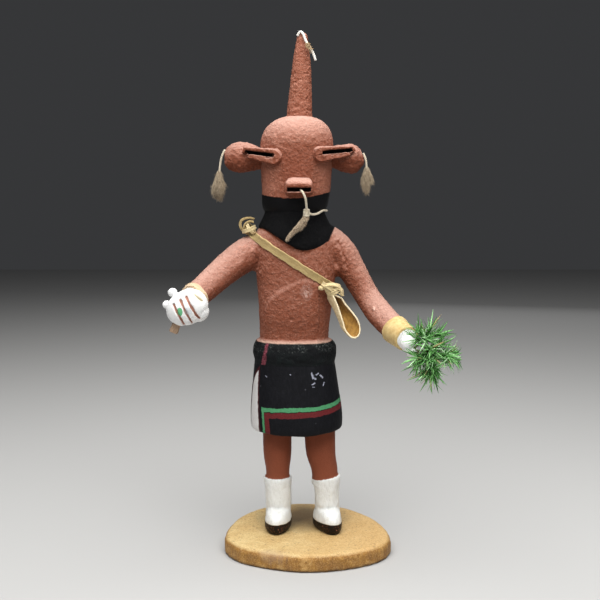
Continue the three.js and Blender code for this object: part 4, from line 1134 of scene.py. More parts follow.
def weather_figure(figure):
    """Sand in the mud paint, plaster in the armpits, a rumpled belt and soft creases."""
    spots = places(figure)
    x, y, z = spots.T
    front = step(-y, 4, 10)
    view = spots[:, [0, 2]]
    lift = 0.20 * lumps(spots, 9, 3)
    mud = step(z, BELT_TOP - 1, BELT_TOP + 1)
    black = step(z, 192, 193.5) * (1 - step(z, 201, 203))
    scarfed = step(z, scarf_hem(np.arctan2(y - SCARF_MIDDLE[1], x - SCARF_MIDDLE[0])), SCARF_SIDE)
    from_middle = np.hypot(x - TRUNK_X, y)
    scarfed *= step(26 - from_middle, 0, 2)
    sandy = mud * (1 - 0.8 * np.maximum(black, scarfed * (1 - step(z, 193, 194))))
    lift += sandy * bumps(spots, (0.08, 2.6, 4), (0.13, 1.3, 5))
    # Plaster round the arms' seams: a rough swelling with a broken groove in it.
    ways = [line_distance(view, a, b) for a, b in ARM_SEAMS]
    near = np.min(ways, axis=0) + 0.9 * lumps(spots, 2.6, 11)
    rough = np.exp(-(near / 4.0) ** 2) * step(-y, 1, 5)
    lift += rough * (0.25 + 0.32 * lumps(spots, 1.7, 12) + 0.16 * lumps(spots, 1.0, 13))
    lift -= 0.75 * step(-y, 1, 5) * np.exp(-(near / 0.7) ** 2) * step(lumps(spots, 4, 14), -0.6, 0.2)
    # Slanting brush ridges on the right shoulder, and the bead of glue at the left elbow.
    ridge_x, ridge_z = x - SHOULDER_RIDGES[0], z - SHOULDER_RIDGES[1]
    turned = np.stack([
        RIDGE_COS * ridge_x + RIDGE_SIN * ridge_z, y, RIDGE_COS * ridge_z - RIDGE_SIN * ridge_x,
    ], axis=1)
    patch = np.exp(-(turned[:, 0] / 8) ** 2 - (turned[:, 2] / 5.5) ** 2) * step(-y, 5, 8)
    lift += patch * 0.40 * lumps(turned, 1.2, 15, (4.5, 2, 1))
    bead = np.hypot(x - GLUE_BEAD[0], 0.8 * (z - GLUE_BEAD[1]))
    lift += 0.4 * np.exp(-(bead / 0.9) ** 2) * step(-y, 6, 9)
    belt = step(z, BELT_BOTTOM, BELT_BOTTOM + 1) * (1 - mud) * step(30 - from_middle, 0, 2)
    lift += belt * bumps(spots, (0.30, 1.9, 6, (2.4, 2.4, 1)), (0.16, 1.1, 7))
    cloth = 1 - step(z, BELT_BOTTOM - 1, BELT_BOTTOM)
    lift += cloth * 0.05 * lumps(spots, 1.4, 8)
    boots = 1 - step(z, BOOT_TOP - 1, BOOT_TOP)
    lift += boots * bumps(spots, (0.13, 2.8, 9), (0.07, 1.3, 17, (1, 1, 2)))
    # The belly stands proud of the chest, with a soft rim.
    ways = [line_distance(view, a, b) for a, b in zip(BELLY_RIM, BELLY_RIM[1:])]
    near = np.min(ways, axis=0) + 0.4 * lumps(spots, 3, 16)
    below = step(np.interp(x, *np.array(BELLY_RIM).T, left=130, right=120) - z, -2.0, 1.2)
    belly = front * step(z, 124, 134) * step(-x, -14, -6) * step(x + 26, 0, 3)
    lift += belly * (0.56 * below + 0.15 * np.exp(-(near / 2.2) ** 2))
    lift -= 0.6 * np.exp(-(np.hypot(x - NAVEL[0], z - NAVEL[1]) / 0.8) ** 2) * front
    # Creases at the ankles and above the soles, and a boot top with a thin uneven lip.
    foot = boots * step(-y, 0, 6)
    crease = z - ANKLE_CREASE - 0.06 * np.abs(y) - 0.35 * lumps(spots, 5, 10)
    lift -= foot * 0.62 * np.exp(-(crease / 1.0) ** 2)
    lift += foot * 0.30 * np.exp(-((crease + 2.6) / 1.6) ** 2)
    lift -= boots * 0.25 * np.exp(-((z - SOLE_TOP - 0.2) / 0.5) ** 2)
    swell(figure, lift)
    # The kilt's hem hangs a little lower in front.
    spots = places(figure)
    x, y, z = spots.T
    hem = step(-y, 4, 20) * (1 - step(z, HEM + 1, HEM + 12)) * step(z, HEM - 1, HEM)
    wide = step(np.abs(x + 6.3), 0, 26)
    spots[:, 2] -= 1.5 * hem * (1 - 0.7 * wide)
    move_to(figure, spots)


def slice_of(figure, name, low, high):
    """The part of the figure between two levels, as a piece of its own."""
    shape = bmesh.new()
    shape.from_mesh(figure.data)
    for level, keep in ((low, 1), (high, -1)):
        if level is None:
            continue
        everything = shape.verts[:] + shape.edges[:] + shape.faces[:]
        cut = bmesh.ops.bisect_plane(
            shape, geom=everything, dist=1e-7, plane_co=(0, 0, level * MM), plane_no=(0, 0, keep),
            clear_inner=True,
        )
        edges = [part for part in cut["geom_cut"] if isinstance(part, bmesh.types.BMEdge)]
        bmesh.ops.holes_fill(shape, edges=edges)
        for edge in edges:
            edge.smooth = False
    bmesh.ops.recalc_face_normals(shape, faces=shape.faces)
    return new_piece(name, shape)


# ---- What is fixed on the head -------------------------------------------------------------------

EYES = {
    "right": ((-15.4, -22, 223), (-36.6, -12.4, 226.2)),
    "left": ((4.8, -22, 224.6), (26.8, -12, 227.2)),
}
EYE_SLIT = 2.1
EYE_ENDS = 5.6  # how much of a bar's length its slit leaves solid
EYE_WORN = 4.6  # how much of its inner end is worn round
MOUTH_X = -4.8
MOUTH_FRONT = -27.2
MOUTH_LIP = 207.2
MOUTH_HALF = 7.2
KNOBS = {
    "right": [
        (-22, -1, KNOB_Z - 0.6, 5.6, 5.6), (-27, -1.4, KNOB_Z - 0.4, 6.2, 6.2),
        (-33, -2, KNOB_Z, 8, 8), (-38.5, -2.4, KNOB_Z, 8.6, 8.5), (-42.8, -2.6, KNOB_Z, 7.2, 7.2),
        (-45.8, -2.8, KNOB_Z + 0.2, 4.4, 4.4), (-46.8, -2.8, KNOB_Z + 0.2, 1.4, 1.4),
    ],
    "left": [
        (10, -1, KNOB_Z + 0.6, 6, 6), (15, -1.4, KNOB_Z + 0.4, 6.3, 6.3),
        (20, -2, KNOB_Z - 0.2, 7.6, 7.8), (24.6, -2.4, KNOB_Z - 0.6, 8.2, 8.2),
        (28.2, -2.6, KNOB_Z - 0.4, 6.9, 7), (30.5, -2.8, KNOB_Z - 0.2, 4.2, 4.2),
        (31.3, -2.8, KNOB_Z, 1.4, 1.4),
    ],
}


def make_knob(side, paint):
    shape = bmesh.new()
    limb(shape, KNOBS[side], steps=36, count=56)
    knob, spots = carved(f"side_knob_{side}_painted", shape, 0.42, 5)
    seed = 20 if side == "right" else 30
    swell(knob, bumps(spots, (0.32, 5, seed), (0.24, 2.1, seed + 1), (0.24, 1.1, seed + 2)))
    fit(knob, paint, "mud_paint", f"side_knob_{side}")
    return knob


def make_crown(paint):
    shape = bmesh.new()
    stack(shape, [
        (HEAD_TOP - 3, -4.6, 0, 7.7, 7.7), (HEAD_TOP + 3, -4.5, 0, 7.0, 7.0),
        (HEAD_TOP + 13, -3.9, 0.3, 6.3, 6.3), (HEAD_TOP + 24, -3.4, 0.6, 5.5, 5.4),
        (HEAD_TOP + 35, -3.2, 0.8, 4.3, 4.2), (CROWN_TOP - 3, -2.9, 1, 3, 3),
        (CROWN_TOP - 0.8, -2.9, 1, 2.2, 2.2), (CROWN_TOP, -2.9, 1, 1, 1),
    ], 2, steps=60, count=48)
    crown, spots = carved("crown_cone_painted", shape, 0.4, 3)
    pits = step(lumps(spots, 1.7, 44), 0.45, 0.75)
    swell(crown, bumps(spots, (0.15, 4.2, 41), (0.12, 1.7, 42), (0.12, 0.9, 43)) - 0.35 * pits)
    fit(crown, paint, "mud_paint", "crown_cone")


def thicken_foot(piece, support, keep, reach=1.7, most=0.75):
    """Spreads a piece's foot over its support, as thick paint drawn round it would."""
    lift = np.zeros(len(piece.data.vertices))
    for i, vertex in enumerate(piece.data.vertices):
        spot, _, _, way = support.find_nearest(vertex.co, reach * MM)
        if spot is not None:
            lift[i] = most * (1 - way / (reach * MM)) ** 1.6
    swell(piece, lift * keep)


def make_eye(side, paint, support):
    """An applied bar with an open slit, black inside."""
    bar, spots = carved_on(f"eye_bar_{side}_painted", f"eye_bar_{side}", support, 0.27, 9)
    inner, outer = (np.array(end, float) for end in EYES[side])
    length = np.linalg.norm(outer - inner)
    along = (outer - inner) / length
    sense = 1 if side == "left" else -1
    out = np.array([along[1], -along[0], 0]) * sense
    out /= np.linalg.norm(out)
    up = np.cross(out, along) * sense
    way = spots - inner
    # The inner end is worn round.
    run, rise = way @ along, way @ up
    left = np.clip((run - run.min()) / EYE_WORN, 0, 1)
    middle = rise[left < 0.6].mean()
    roundness = 0.35 + 0.65 * np.sqrt(1 - (1 - left) ** 2)
    spots += ((rise - middle) * (roundness - 1))[:, None] * up - (1.3 * (1 - left) ** 2)[:, None] * out
    move_to(bar, spots)
    way = spots - inner
    off_middle = np.abs(way @ along - length / 2 - 0.8)
    slit_half = (length - EYE_ENDS) / 2
    inside = 1 - step(off_middle, slit_half, slit_half + 0.35)
    ragged = 0.30 * lumps(spots, 1.4, 57)
    inside *= 1 - step(np.abs(way @ up - 1.0 + ragged), EYE_SLIT / 2 - 0.15, EYE_SLIT / 2 + 0.3)
    inside *= 1 - step(way @ out, -0.75, -0.3)
    record_on(bar, "slot", inside)
    seed = 50 if side == "right" else 60
    keep = 1 - 0.8 * inside
    # The slit is a little pinched, and its lower lip is chipped.
    pinch = inside * (0.26 + 0.18 * lumps(spots, 1.6, seed + 3))
    rise = way @ up
    lower = np.exp(-((rise + 0.6) / 0.5) ** 2) * step(way @ out, -1.2, -0.2)
    chips = lower * step(lumps(spots, 1.5, seed + 4), 0.0, 0.45) * 0.7
    worn = np.exp(-((rise + 1.4) / 1.6) ** 2) * step(way @ along, length - 5.5, length - 2.5) * 0.8
    thicken_foot(bar, support, keep)
    grain = bumps(spots, (0.24, 3, seed), (0.15, 1.5, seed + 1), (0.09, 0.8, seed + 2))
    swell(bar, pinch - chips - worn + keep * grain)
    fit(bar, paint, "mud_paint", f"eye_bar_{side}")


def make_mouth(paint, support):
    """An applied spout with a thick upper lip and a level slit, black inside."""
    mouth, spots = carved_on("mouth_painted", "mouth", support, 0.27, 8)
    x, y, z = spots.T
    inside = 1 - step(np.abs(x - MOUTH_X), MOUTH_HALF - 0.7, MOUTH_HALF - 0.35)
    inside *= 1 - step(np.abs(z - MOUTH_LIP + 0.95 + 0.25 * lumps(spots, 1.4, 74)), 0.90, 1.35)
    inside *= step(y, MOUTH_FRONT + 0.25, MOUTH_FRONT + 0.8)
    record_on(mouth, "slot", inside)
    keep = 1 - 0.8 * inside
    pillow = np.exp(-((z - MOUTH_LIP - 1.9) / 1.7) ** 2) * step(MOUTH_HALF + 0.5 - np.abs(x - MOUTH_X), 0, 3)
    pinch = inside * (0.42 + 0.22 * lumps(spots, 1.5, 73))
    thicken_foot(mouth, support, keep)
    grain = bumps(spots, (0.18, 2.6, 71), (0.13, 1.2, 72))
    swell(mouth, 0.85 * pillow * (1 - inside) * step(-y, 20, 24) + pinch + keep * grain)
    fit(mouth, paint, "mud_paint", "mouth")


# ---- Hands, held stick and cuffs -----------------------------------------------------------------

FIST_Y = -35.6
FIST_EGGS = [  # middle, half sizes and turn of the palm, its heel and two knuckles
    ((-64.4, FIST_Y, 143.2), (11.6, 8.2, 9.4), (0, -24, 8)), ((-58.2, -34, 141.0), (5.2, 6.2, 5.8)),
    ((-72.4, -33, 151), (2.6, 2.8, 2.5)), ((-75.6, -33.5, 144.4), (2.4, 2.8, 2.3)),
]
LEFT_HAND_EGGS = [  # the mitten and its thumb
    ((53.8, -41.5, 124.6), (4.5, 6, 5.0), (20, 20, 0)), ((55.2, -44, 120.4), (3.4, 4.4, 3.2)),
]
FIST_SLIT = ((-59.6, 150.3), (-55.6, 147.2))  # front view (x, z) of a shallow crease in the paint, with painted shadow in it
FIST_DOT = (-67.4, 141.6, 1.5, 2.3, 0.8, 1.2)  # front view (x, z), half sizes, where the edge starts and ends
FIST_STAIN = (-62.8, 141.9, 2.2, 2.6, 0.4, 1.3)
FIST_CUTS = [  # front view (x, z) of each saw cut, from its upper end
    ((-70.7, 145.3), (-65.6, 134.0)), ((-67.2, 147.9), (-60.9, 134.0)), ((-64.2, 149.6), (-57.5, 137.4)),
]


def make_fist(paint):
    """The closed hand, sawn between its fingers, with a green dot and a grey stain on its back."""
    shape = bmesh.new()
    add_eggs(shape, FIST_EGGS)
    limb(shape, ARMS["right"], 2.1, first=WRIST["right"])
    fist, spots = carved("right_fist", shape, 0.3, 9)
    front = spots[:, [0, 2]]
    x, z = front.T
    wander = 0.35 * lumps(spots, 3, 81)
    face = 1 - step(spots[:, 1], FIST_Y - 3, FIST_Y + 1)
    cut = np.zeros(len(spots))
    for first, last in FIST_CUTS:
        cut = np.maximum(cut, 1 - step(line_distance(front, first, last) + wander, 0.3, 0.95))
    slit = (1 - step(line_distance(front, *FIST_SLIT) + wander, 0.0, 1.1)) * face
    cut *= face
    swell(fist, bumps(spots, (0.22, 4, 82), (0.08, 1.6, 83)) - 1.15 * cut - 0.3 * slit)
    record_on(fist, "groove", cut)
    # The crease's mask, which carries its painted shadow.
    record_on(fist, "bare", slit)
    record_on(fist, "low", 1 - step(z, 135, 148))
    for mark, (mark_x, mark_z, half_x, half_z, start, end) in (("dot", FIST_DOT), ("stain", FIST_STAIN)):
        away = np.hypot((x - mark_x) / half_x, (z - mark_z) / half_z)
        record_on(fist, mark, (1 - step(away, start, end)) * face)
    fit(fist, paint, "mud_paint", "arm_right")
    return fist


def make_left_hand(paint):
    shape = bmesh.new()
    add_eggs(shape, LEFT_HAND_EGGS)
    limb(shape, ARMS["left"], 2.1, first=WRIST["left"])
    hand, spots = carved("left_hand", shape, 0.3, 8)
    swell(hand, bumps(spots, (0.2, 3.4, 91), (0.07, 1.5, 92)))
    fit(hand, paint, "mud_paint", "arm_left")


def bare_wood():
    r = Recipe("bare_wood", specular=0.25)
    grain = r.noise(0.9, 4, 0.7, place=r.stretched(1, 1, 0.2, (0, 0.35, 0)))
    r.colour = r.mix(grain, (0.24, 0.145, 0.085), (0.50, 0.36, 0.25))
    r.over(r.spots(1.4, 0.12) * 0.4, (0.10, 0.06, 0.04))
    return r.finish(0.8, grain * 0.5, 0.5)


def make_held_stick(material, support):
    stub, spots = carved_on("held_stick_end", "held_stick", support, 0.25, 3)
    swell(stub, 0.13 * lumps(spots, 1.1, 95, (1, 1, 3)))
    fit(stub, material, "bare_stick", "held_stick")


def make_cuff(side, material, slot):
    """A thin hide band round a wrist, with creases and uneven edges."""
    first, last = CUFFS[side]
    shape = bmesh.new()
    count = 72
    turn = 2 * np.pi * np.arange(count) / count
    seed = 100 if side == "right" else 110
    rim = np.stack([3 * np.cos(turn), 3 * np.sin(turn), np.zeros(count)], axis=1)
    rings = []
    profile = [(0, 0.0), (0.0, 0.9), (0.03, 1.12), (0.12, 1.16)]
    profile += [(share, 1.0 + 0.1 * math.sin(9 * share + seed)) for share in (0.25, 0.4, 0.5, 0.6, 0.75)]
    profile += [(0.88, 1.14), (0.97, 1.1), (1.0, 0.9), (1.0, 0.0)]
    for share, out in profile:
        middle, u, w, a, b, forward = station(ARMS[side], first + (last - first) * share)
        level = ring(middle, u, w, a + out, b + out, 2.1, count)
        fray = lumps(rim + 40 * round(share), 1.3, seed) * 0.35 * abs(2 * share - 1) ** 3
        crease = 0.13 * lumps(np.column_stack([rim[:, :2], np.full(count, 6 * share)]), 1.5, seed + 1)
        spread = units(level - np.array(middle))
        rings.append(level + fray[:, None] * np.array(forward) + (crease * (out > 0.5))[:, None] * spread)
    skin(shape, rings)
    fit(new_piece(f"wrist_cuff_{side}", shape), material, slot, f"cuff_{side}")


# ---- Bandolier, its knots and the pouch ----------------------------------------------------------

STRAP_MIDDLE = np.array((-10, 0, 167.4))
STRAP_SLOPE = math.radians(33)
STRAP_WIDTH = 4.4
SIDE_KNOT = np.array((13, -15.6, 151.4))
POUCH_BACK = np.array((-0.66, 0.74, 0.08))  # the way its walls run from the rim
POUCH_EDGE = [
    (13.8, -19, 148.4), (16.1, -20, 142.3), (18.6, -20.6, 135.2), (20.8, -20.6, 128.4),
    (24.8, -20, 124.4), (28.1, -18.6, 125), (29.4, -17, 128.8), (28.3, -16.2, 133.8),
    (25.2, -16, 138.4), (21.2, -16.2, 143.2), (18.4, -17, 147),
]
POUCH_WALL = 0.9
POUCH_DEPTH, POUCH_DEEPENS = 3.4, 5.0  # at its foot, and how much more at its top
POUCH_ROWS = [  # from the closed back to the rim: how wide, and how deep, as shares
    (0.10, 1.0), (0.45, 0.98), (0.75, 0.86), (0.92, 0.66), (0.98, 0.4), (1.0, 0.18), (1.0, 0.04),
]


def hull(flat):
    """The corners of the tight loop round points in a plane, counter-clockwise."""
    rows = sorted(map(tuple, flat))
    loop = []
    for run in (rows, rows[::-1]):
        side = []
        for p in run:
            while len(side) > 1:
                (ax, ay), (bx, by) = side[-2:]
                if (bx - ax) * (p[1] - ay) - (by - ay) * (p[0] - ax) > 0:
                    break
                side.pop()
            side.append(p)
        loop += side[:-1]
    return np.array(loop)


def make_strap(material, support):
    """The bandolier, pulled tight round the trunk in one tilted plane."""
    down = np.array((math.cos(STRAP_SLOPE), 0, -math.sin(STRAP_SLOPE)))
    back = np.array((0.0, 1.0, 0.0))
    hits = []
    for turn in np.linspace(0, 2 * math.pi, 180, endpoint=False):
        aim = down * math.cos(turn) + back * math.sin(turn)
        spot, _, _, _ = support.ray_cast(Vector(STRAP_MIDDLE) * MM, Vector(aim))
        way = np.array(spot) / MM - STRAP_MIDDLE
        hits.append((way @ down, way @ back))
    loop = hull(np.array(hits))
    ends = np.vstack([loop, loop[:1]])
    run = lengths_along(ends)
    wanted = np.linspace(0, run[-1], 261)[:-1]
    flat = np.stack([np.interp(wanted, run, ends[:, k]) for k in (0, 1)], axis=1)
    flat = eased(flat, 12)
    path = STRAP_MIDDLE + flat[:, :1] * down + flat[:, 1:] * back
    ups, rise = [], []
    for spot in path:
        near, normal, _, _ = support.find_nearest(Vector(spot) * MM)
        ups.append(normal)
        rise.append((Vector(spot) * MM - near).dot(normal) / MM)
    ups = eased(np.array(ups), 30)
    path = path + ups * np.maximum(0.12 - np.array(rise), 0)[:, None]
    strap = strip("bandolier_strap_leather", path, ups, STRAP_WIDTH, 0.95, closed=True, seed=120)
    fit(strap, material, "strap_leather", "bandolier_strap")


def wound(name, middle, axis, size, width, material, seed, thick=0.8):
    """A strip wound once round a knot."""
    axis = Vector(axis).normalized()
    u = axis.orthogonal().normalized()
    loop = ring(middle, u, axis.cross(u), *size, 2.2, 48)
    turn = strip(name, loop, loop - np.array(middle), width, thick, closed=True, seed=seed)
    fit(turn, material, "strap_leather", "bandolier_strap")


def knot_core(name, eggs, grain, material, seed):
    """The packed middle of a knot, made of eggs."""
    shape = bmesh.new()
    add_eggs(shape, eggs)
    core, spots = carved(name, shape, grain, 5)
    swell(core, bumps(spots, (0.3, 2.0, seed), (0.18, 1.0, seed + 1)))
    fit(core, material, "strap_leather", "bandolier_strap")


def loose_end(name, points, first_up, last_up, width, material, seed, thick=0.8):
    """A short end of leather strip."""
    path = smooth_path(points, 36)
    end = strip(name, path, np.linspace(first_up, last_up, 37), width, thick, seed=seed)
    fit(end, material, "strap_leather", "bandolier_strap")


def make_knots(material, pale):
    """The thin tangle on the right shoulder, and the pale folded knot at the left side."""
    knot_core("shoulder_knot", [
        ((-34.4, -5.0, 183.8), (2.0, 2.3, 2.6), (0, -24, 0), 24),
        ((-33.0, -3.2, 184.6), (2.6, 2.2, 2.2), (0, 0, 0), 20),
    ], 0.28, material, 130)
    loose_end("shoulder_knot_tail", [
        (-34.0, -7.0, 182.4), (-36.4, -6.6, 184.2), (-37.5, -5.6, 186.8), (-36.9, -5.0, 189.0),
        (-34.6, -4.8, 190.0), (-32.2, -5.0, 190.2), (-29.9, -5.4, 189.6),
    ], (-1, -0.4, -0.2), (0.6, -0.4, 1.0), 1.7, material, 132, 0.7)
    loose_end("shoulder_knot_end", [
        (-35.6, -6.4, 184.6), (-34.6, -6.6, 187.0), (-32.4, -6.6, 188.3), (-30.2, -6.2, 187.9),
    ], (-1, -0.5, 0.4), (0.2, -0.5, 1.0), 1.5, material, 133, 0.7)
    wound("shoulder_knot_wrap", (-32.9, -5.4, 184.2), (-0.35, -0.1, 0.9), (3.3, 3.4), 2.2, pale, 134)
    wound("shoulder_knot_turn", (-31.8, -5.8, 184.6), (0.75, -0.2, 0.6), (3.0, 2.7), 1.9, pale, 135)

    knot_core("side_knot", [
        (SIDE_KNOT + (0.2, 0, -0.4), (4.2, 3.0, 2.7), (0, 20, 28), 32),
        (SIDE_KNOT + (-5.4, -1.6, 0.6), (1.7, 1.5, 1.3), (0, 0, 0), 16),
    ], 0.28, pale, 136)
    wound("side_knot_turn_1", SIDE_KNOT + (-1.2, 0, 0.6), (0.55, 0.1, 0.85), (3.9, 3.6), 2.5, pale, 138)
    wound("side_knot_turn_2", SIDE_KNOT + (1.4, 0.3, -0.6), (0.45, 0.3, -0.85), (3.7, 3.5), 2.4, pale, 139)
    loose_end("side_knot_fold", [SIDE_KNOT + way for way in (
        (-3.4, -3.2, 1.8), (-0.4, -3.9, 2.5), (2.8, -3.4, 2.2), (4.6, -2.2, 1.0),
    )], (0, -0.6, 0.8), (0.5, -0.8, 0.4), 2.3, pale, 140)
    loose_end("side_knot_ear", [SIDE_KNOT + way for way in (
        (1.0, -2.8, 0.2), (3.6, -2.8, 0.8), (5.3, -1.8, -0.4), (5.9, -1.0, -2.2), (5.8, -0.8, -3.8),
    )], (0, -0.9, 0.4), (0.9, -0.4, 0.2), 2.5, pale, 141, 0.75)
    whisker = bmesh.new()
    for lift, reach in ((0.0, 6.4), (0.7, 5.4)):
        tube(whisker, smooth_path([SIDE_KNOT + way for way in (
            (3.6, -2.0, -2.2), (5.2, -2.4, -3.0 + lift), (reach + 0.8, -2.8, -3.6 + lift),
        )], 10), np.linspace(0.30, 0.12, 11), 6)
    fit(new_piece("side_knot_whiskers", whisker), pale, "strap_leather", "bandolier_strap")


def make_pouch(material):
    """A pocket of thin hide, hung from the side knot with its mouth to the front."""
    back = POUCH_BACK / np.linalg.norm(POUCH_BACK)
    rim = smooth_path(POUCH_EDGE, 150, closed=True)
    outwards = units(np.cross(tangents(rim, closed=True), back))
    if np.sum((rim - rim.mean(axis=0)) * outwards) < 0:
        outwards = -outwards
    high = (rim[:, 2] - rim[:, 2].min()) / np.ptp(rim[:, 2])
    depth = POUCH_DEPTH + POUCH_DEEPENS * high
    middle = rim.mean(axis=0)
    wander = 0.16 * lumps(rim, 2.4, 145)
    inner_rim = rim - outwards * POUCH_WALL

    def row(edge, wide, deep):
        pulled = middle + (edge - middle) * wide
        return pulled + back * (depth * deep)[:, None] + outwards * (wander * wide)[:, None]

    rings = [row(rim, wide, deep) for wide, deep in POUCH_ROWS]
    marks = [0] * len(rings)
    rings += [row(rim, 1.0, -0.02), row(rim - outwards * 0.45, 1.0, -0.06), row(inner_rim, 1.0, -0.02)]
    marks += [2, 2, 2]
    rings += [row(inner_rim, wide, 0.93 * deep + 0.005) for wide, deep in POUCH_ROWS[::-1]]
    marks += [1] * len(POUCH_ROWS)
    shape = bmesh.new()
    skin(shape, rings)
    bmesh.ops.recalc_face_normals(shape, faces=shape.faces)
    pouch = new_piece("pouch_leather", shape)
    marks = np.repeat(marks, len(rim))
    record_on(pouch, "inner", marks == 1)
    record_on(pouch, "rim", marks == 2)
    fit(pouch, material, "strap_leather", "pouch")


# ---- Cotton --------------------------------------------------------------------------------------

LOCKS = {  # strands of cotton in a tassel: points (x, y, z, half width, half depth)
    "right": [
        [
            (-49.4, -3.4, 217, 0.8, 0.8), (-50.0, -3.4, 212, 1.6, 1.5),
            (-51.6, -3.4, 207, 1.6, 1.5), (-51.8, -3.2, 203.4, 0.5, 0.5),
        ],
        [
            (-49.4, -3.6, 216, 0.8, 0.8), (-49.1, -4.2, 211, 1.8, 1.6),
            (-48.9, -4.6, 206.4, 1.7, 1.5), (-49.4, -4.2, 201.9, 0.4, 0.4),
        ],
        [
            (-49.5, -3.2, 215, 0.8, 0.8), (-50.4, -2.4, 210, 1.6, 1.5),
            (-50.4, -2.2, 205, 1.4, 1.3), (-50.4, -2.6, 201.6, 0.4, 0.4),
        ],
        [
            (-49.4, -3.4, 213, 0.7, 0.7), (-48.0, -3.0, 210.4, 1.2, 1.2),
            (-47.4, -2.8, 208.0, 0.4, 0.4),
        ],
    ],
    "left": [
        [
            (32.9, -3.6, 219.4, 0.7, 0.7), (33.8, -3.6, 215, 1.5, 1.4),
            (35.2, -3.6, 212, 1.4, 1.2), (36.3, -3.4, 210.4, 0.4, 0.4),
        ],
        [
            (32.9, -3.8, 218.4, 0.7, 0.7), (32.6, -4.2, 214, 1.5, 1.4),
            (32.9, -4.6, 209, 1.4, 1.2), (33.3, -4.4, 204.6, 0.3, 0.3),
        ],
        [
            (32.8, -3.4, 217, 0.7, 0.7), (32.2, -2.6, 213, 1.3, 1.3),
            (32.0, -2.4, 209.4, 1.0, 1.0), (32.2, -2.6, 207, 0.3, 0.3),
        ],
    ],
    "mouth": [
        [
            (-0.6, -22.6, 192.6, 1.0, 1.0), (-3.6, -23.4, 188.2, 1.0, 1.0),
            (-7.8, -23.8, 184.0, 0.9, 0.8), (-11.6, -23.6, 179.0, 0.3, 0.3),
        ],
        [
            (-0.6, -22.6, 192.6, 1.0, 1.0), (-2.7, -23.0, 187.6, 1.1, 1.0),
            (-6.0, -23.2, 184.6, 0.8, 0.8), (-8.8, -23.2, 182.2, 0.3, 0.3),
        ],
    ],
    "crown": [
        [
            (-0.6, -4.3, 287.0, 0.4, 0.4), (0.5, -4.8, 285.2, 0.8, 0.7),
            (1.8, -4.9, 283.0, 0.6, 0.6), (2.4, -4.7, 281.6, 0.3, 0.3),
        ],
    ],
}
STRINGS = {
    "right": [(-46.2, -4.4, 228.4), (-47.9, -4.4, 224.6), (-49.0, -3.8, 219.6), (-49.6, -3.4, 213)],
    "left": [(31.2, -4.4, 226.4), (32.6, -4.4, 222.6), (33.0, -3.9, 218.6), (33.0, -3.6, 213)],
    "mouth": [
        (-3.8, -24.6, 205.7), (-2.6, -27.9, 204.2), (-1.3, -28, 201.2), (-0.8, -25.6, 197.4),
        (-0.6, -23.2, 193.6),
    ],
    "crown": [
        (-5.6, -1.4, 291.2), (-4.1, -1.9, 293.3), (-2.4, -3.1, 291.8), (-0.9, -4.2, 287.8),
        (1.4, -4.7, 283.8), (3.1, -4.5, 281), (4.4, -4.2, 277.4),
    ],
    "neck": [(0.6, -21.6, 193.3), (2.6, -19.6, 192.5), (5.6, -14.6, 193.0)] + [
        (-7.4 + 18.3 * math.cos(turn), 0.5 + 18.1 * math.sin(turn), HEAD_BOTTOM + 1.0)
        for turn in map(math.radians, range(-30, 75, 15))
    ],
}


MOUTH_BINDING = [(-0.6, -22.9, 195.6, 1.2, 1.2), (-0.8, -22.5, 191.4, 1.6, 1.5)]
BINDING_TURNS = np.linspace(195.0, 191.9, 5)  # heights of the thread's turns on it


def twisted(shape, path, radius=0.6, plies=3, pitch=3.2):
    """A cotton string of twisted plies along a path."""
    u, w = carried_frames(path)
    run = lengths_along(path)
    for ply in range(plies):
        turn = 2 * np.pi * (run / pitch + ply / plies)
        strand = path + radius * 0.5 * (np.cos(turn)[:, None] * u + np.sin(turn)[:, None] * w)
        tube(shape, strand, radius * 0.56, 6)


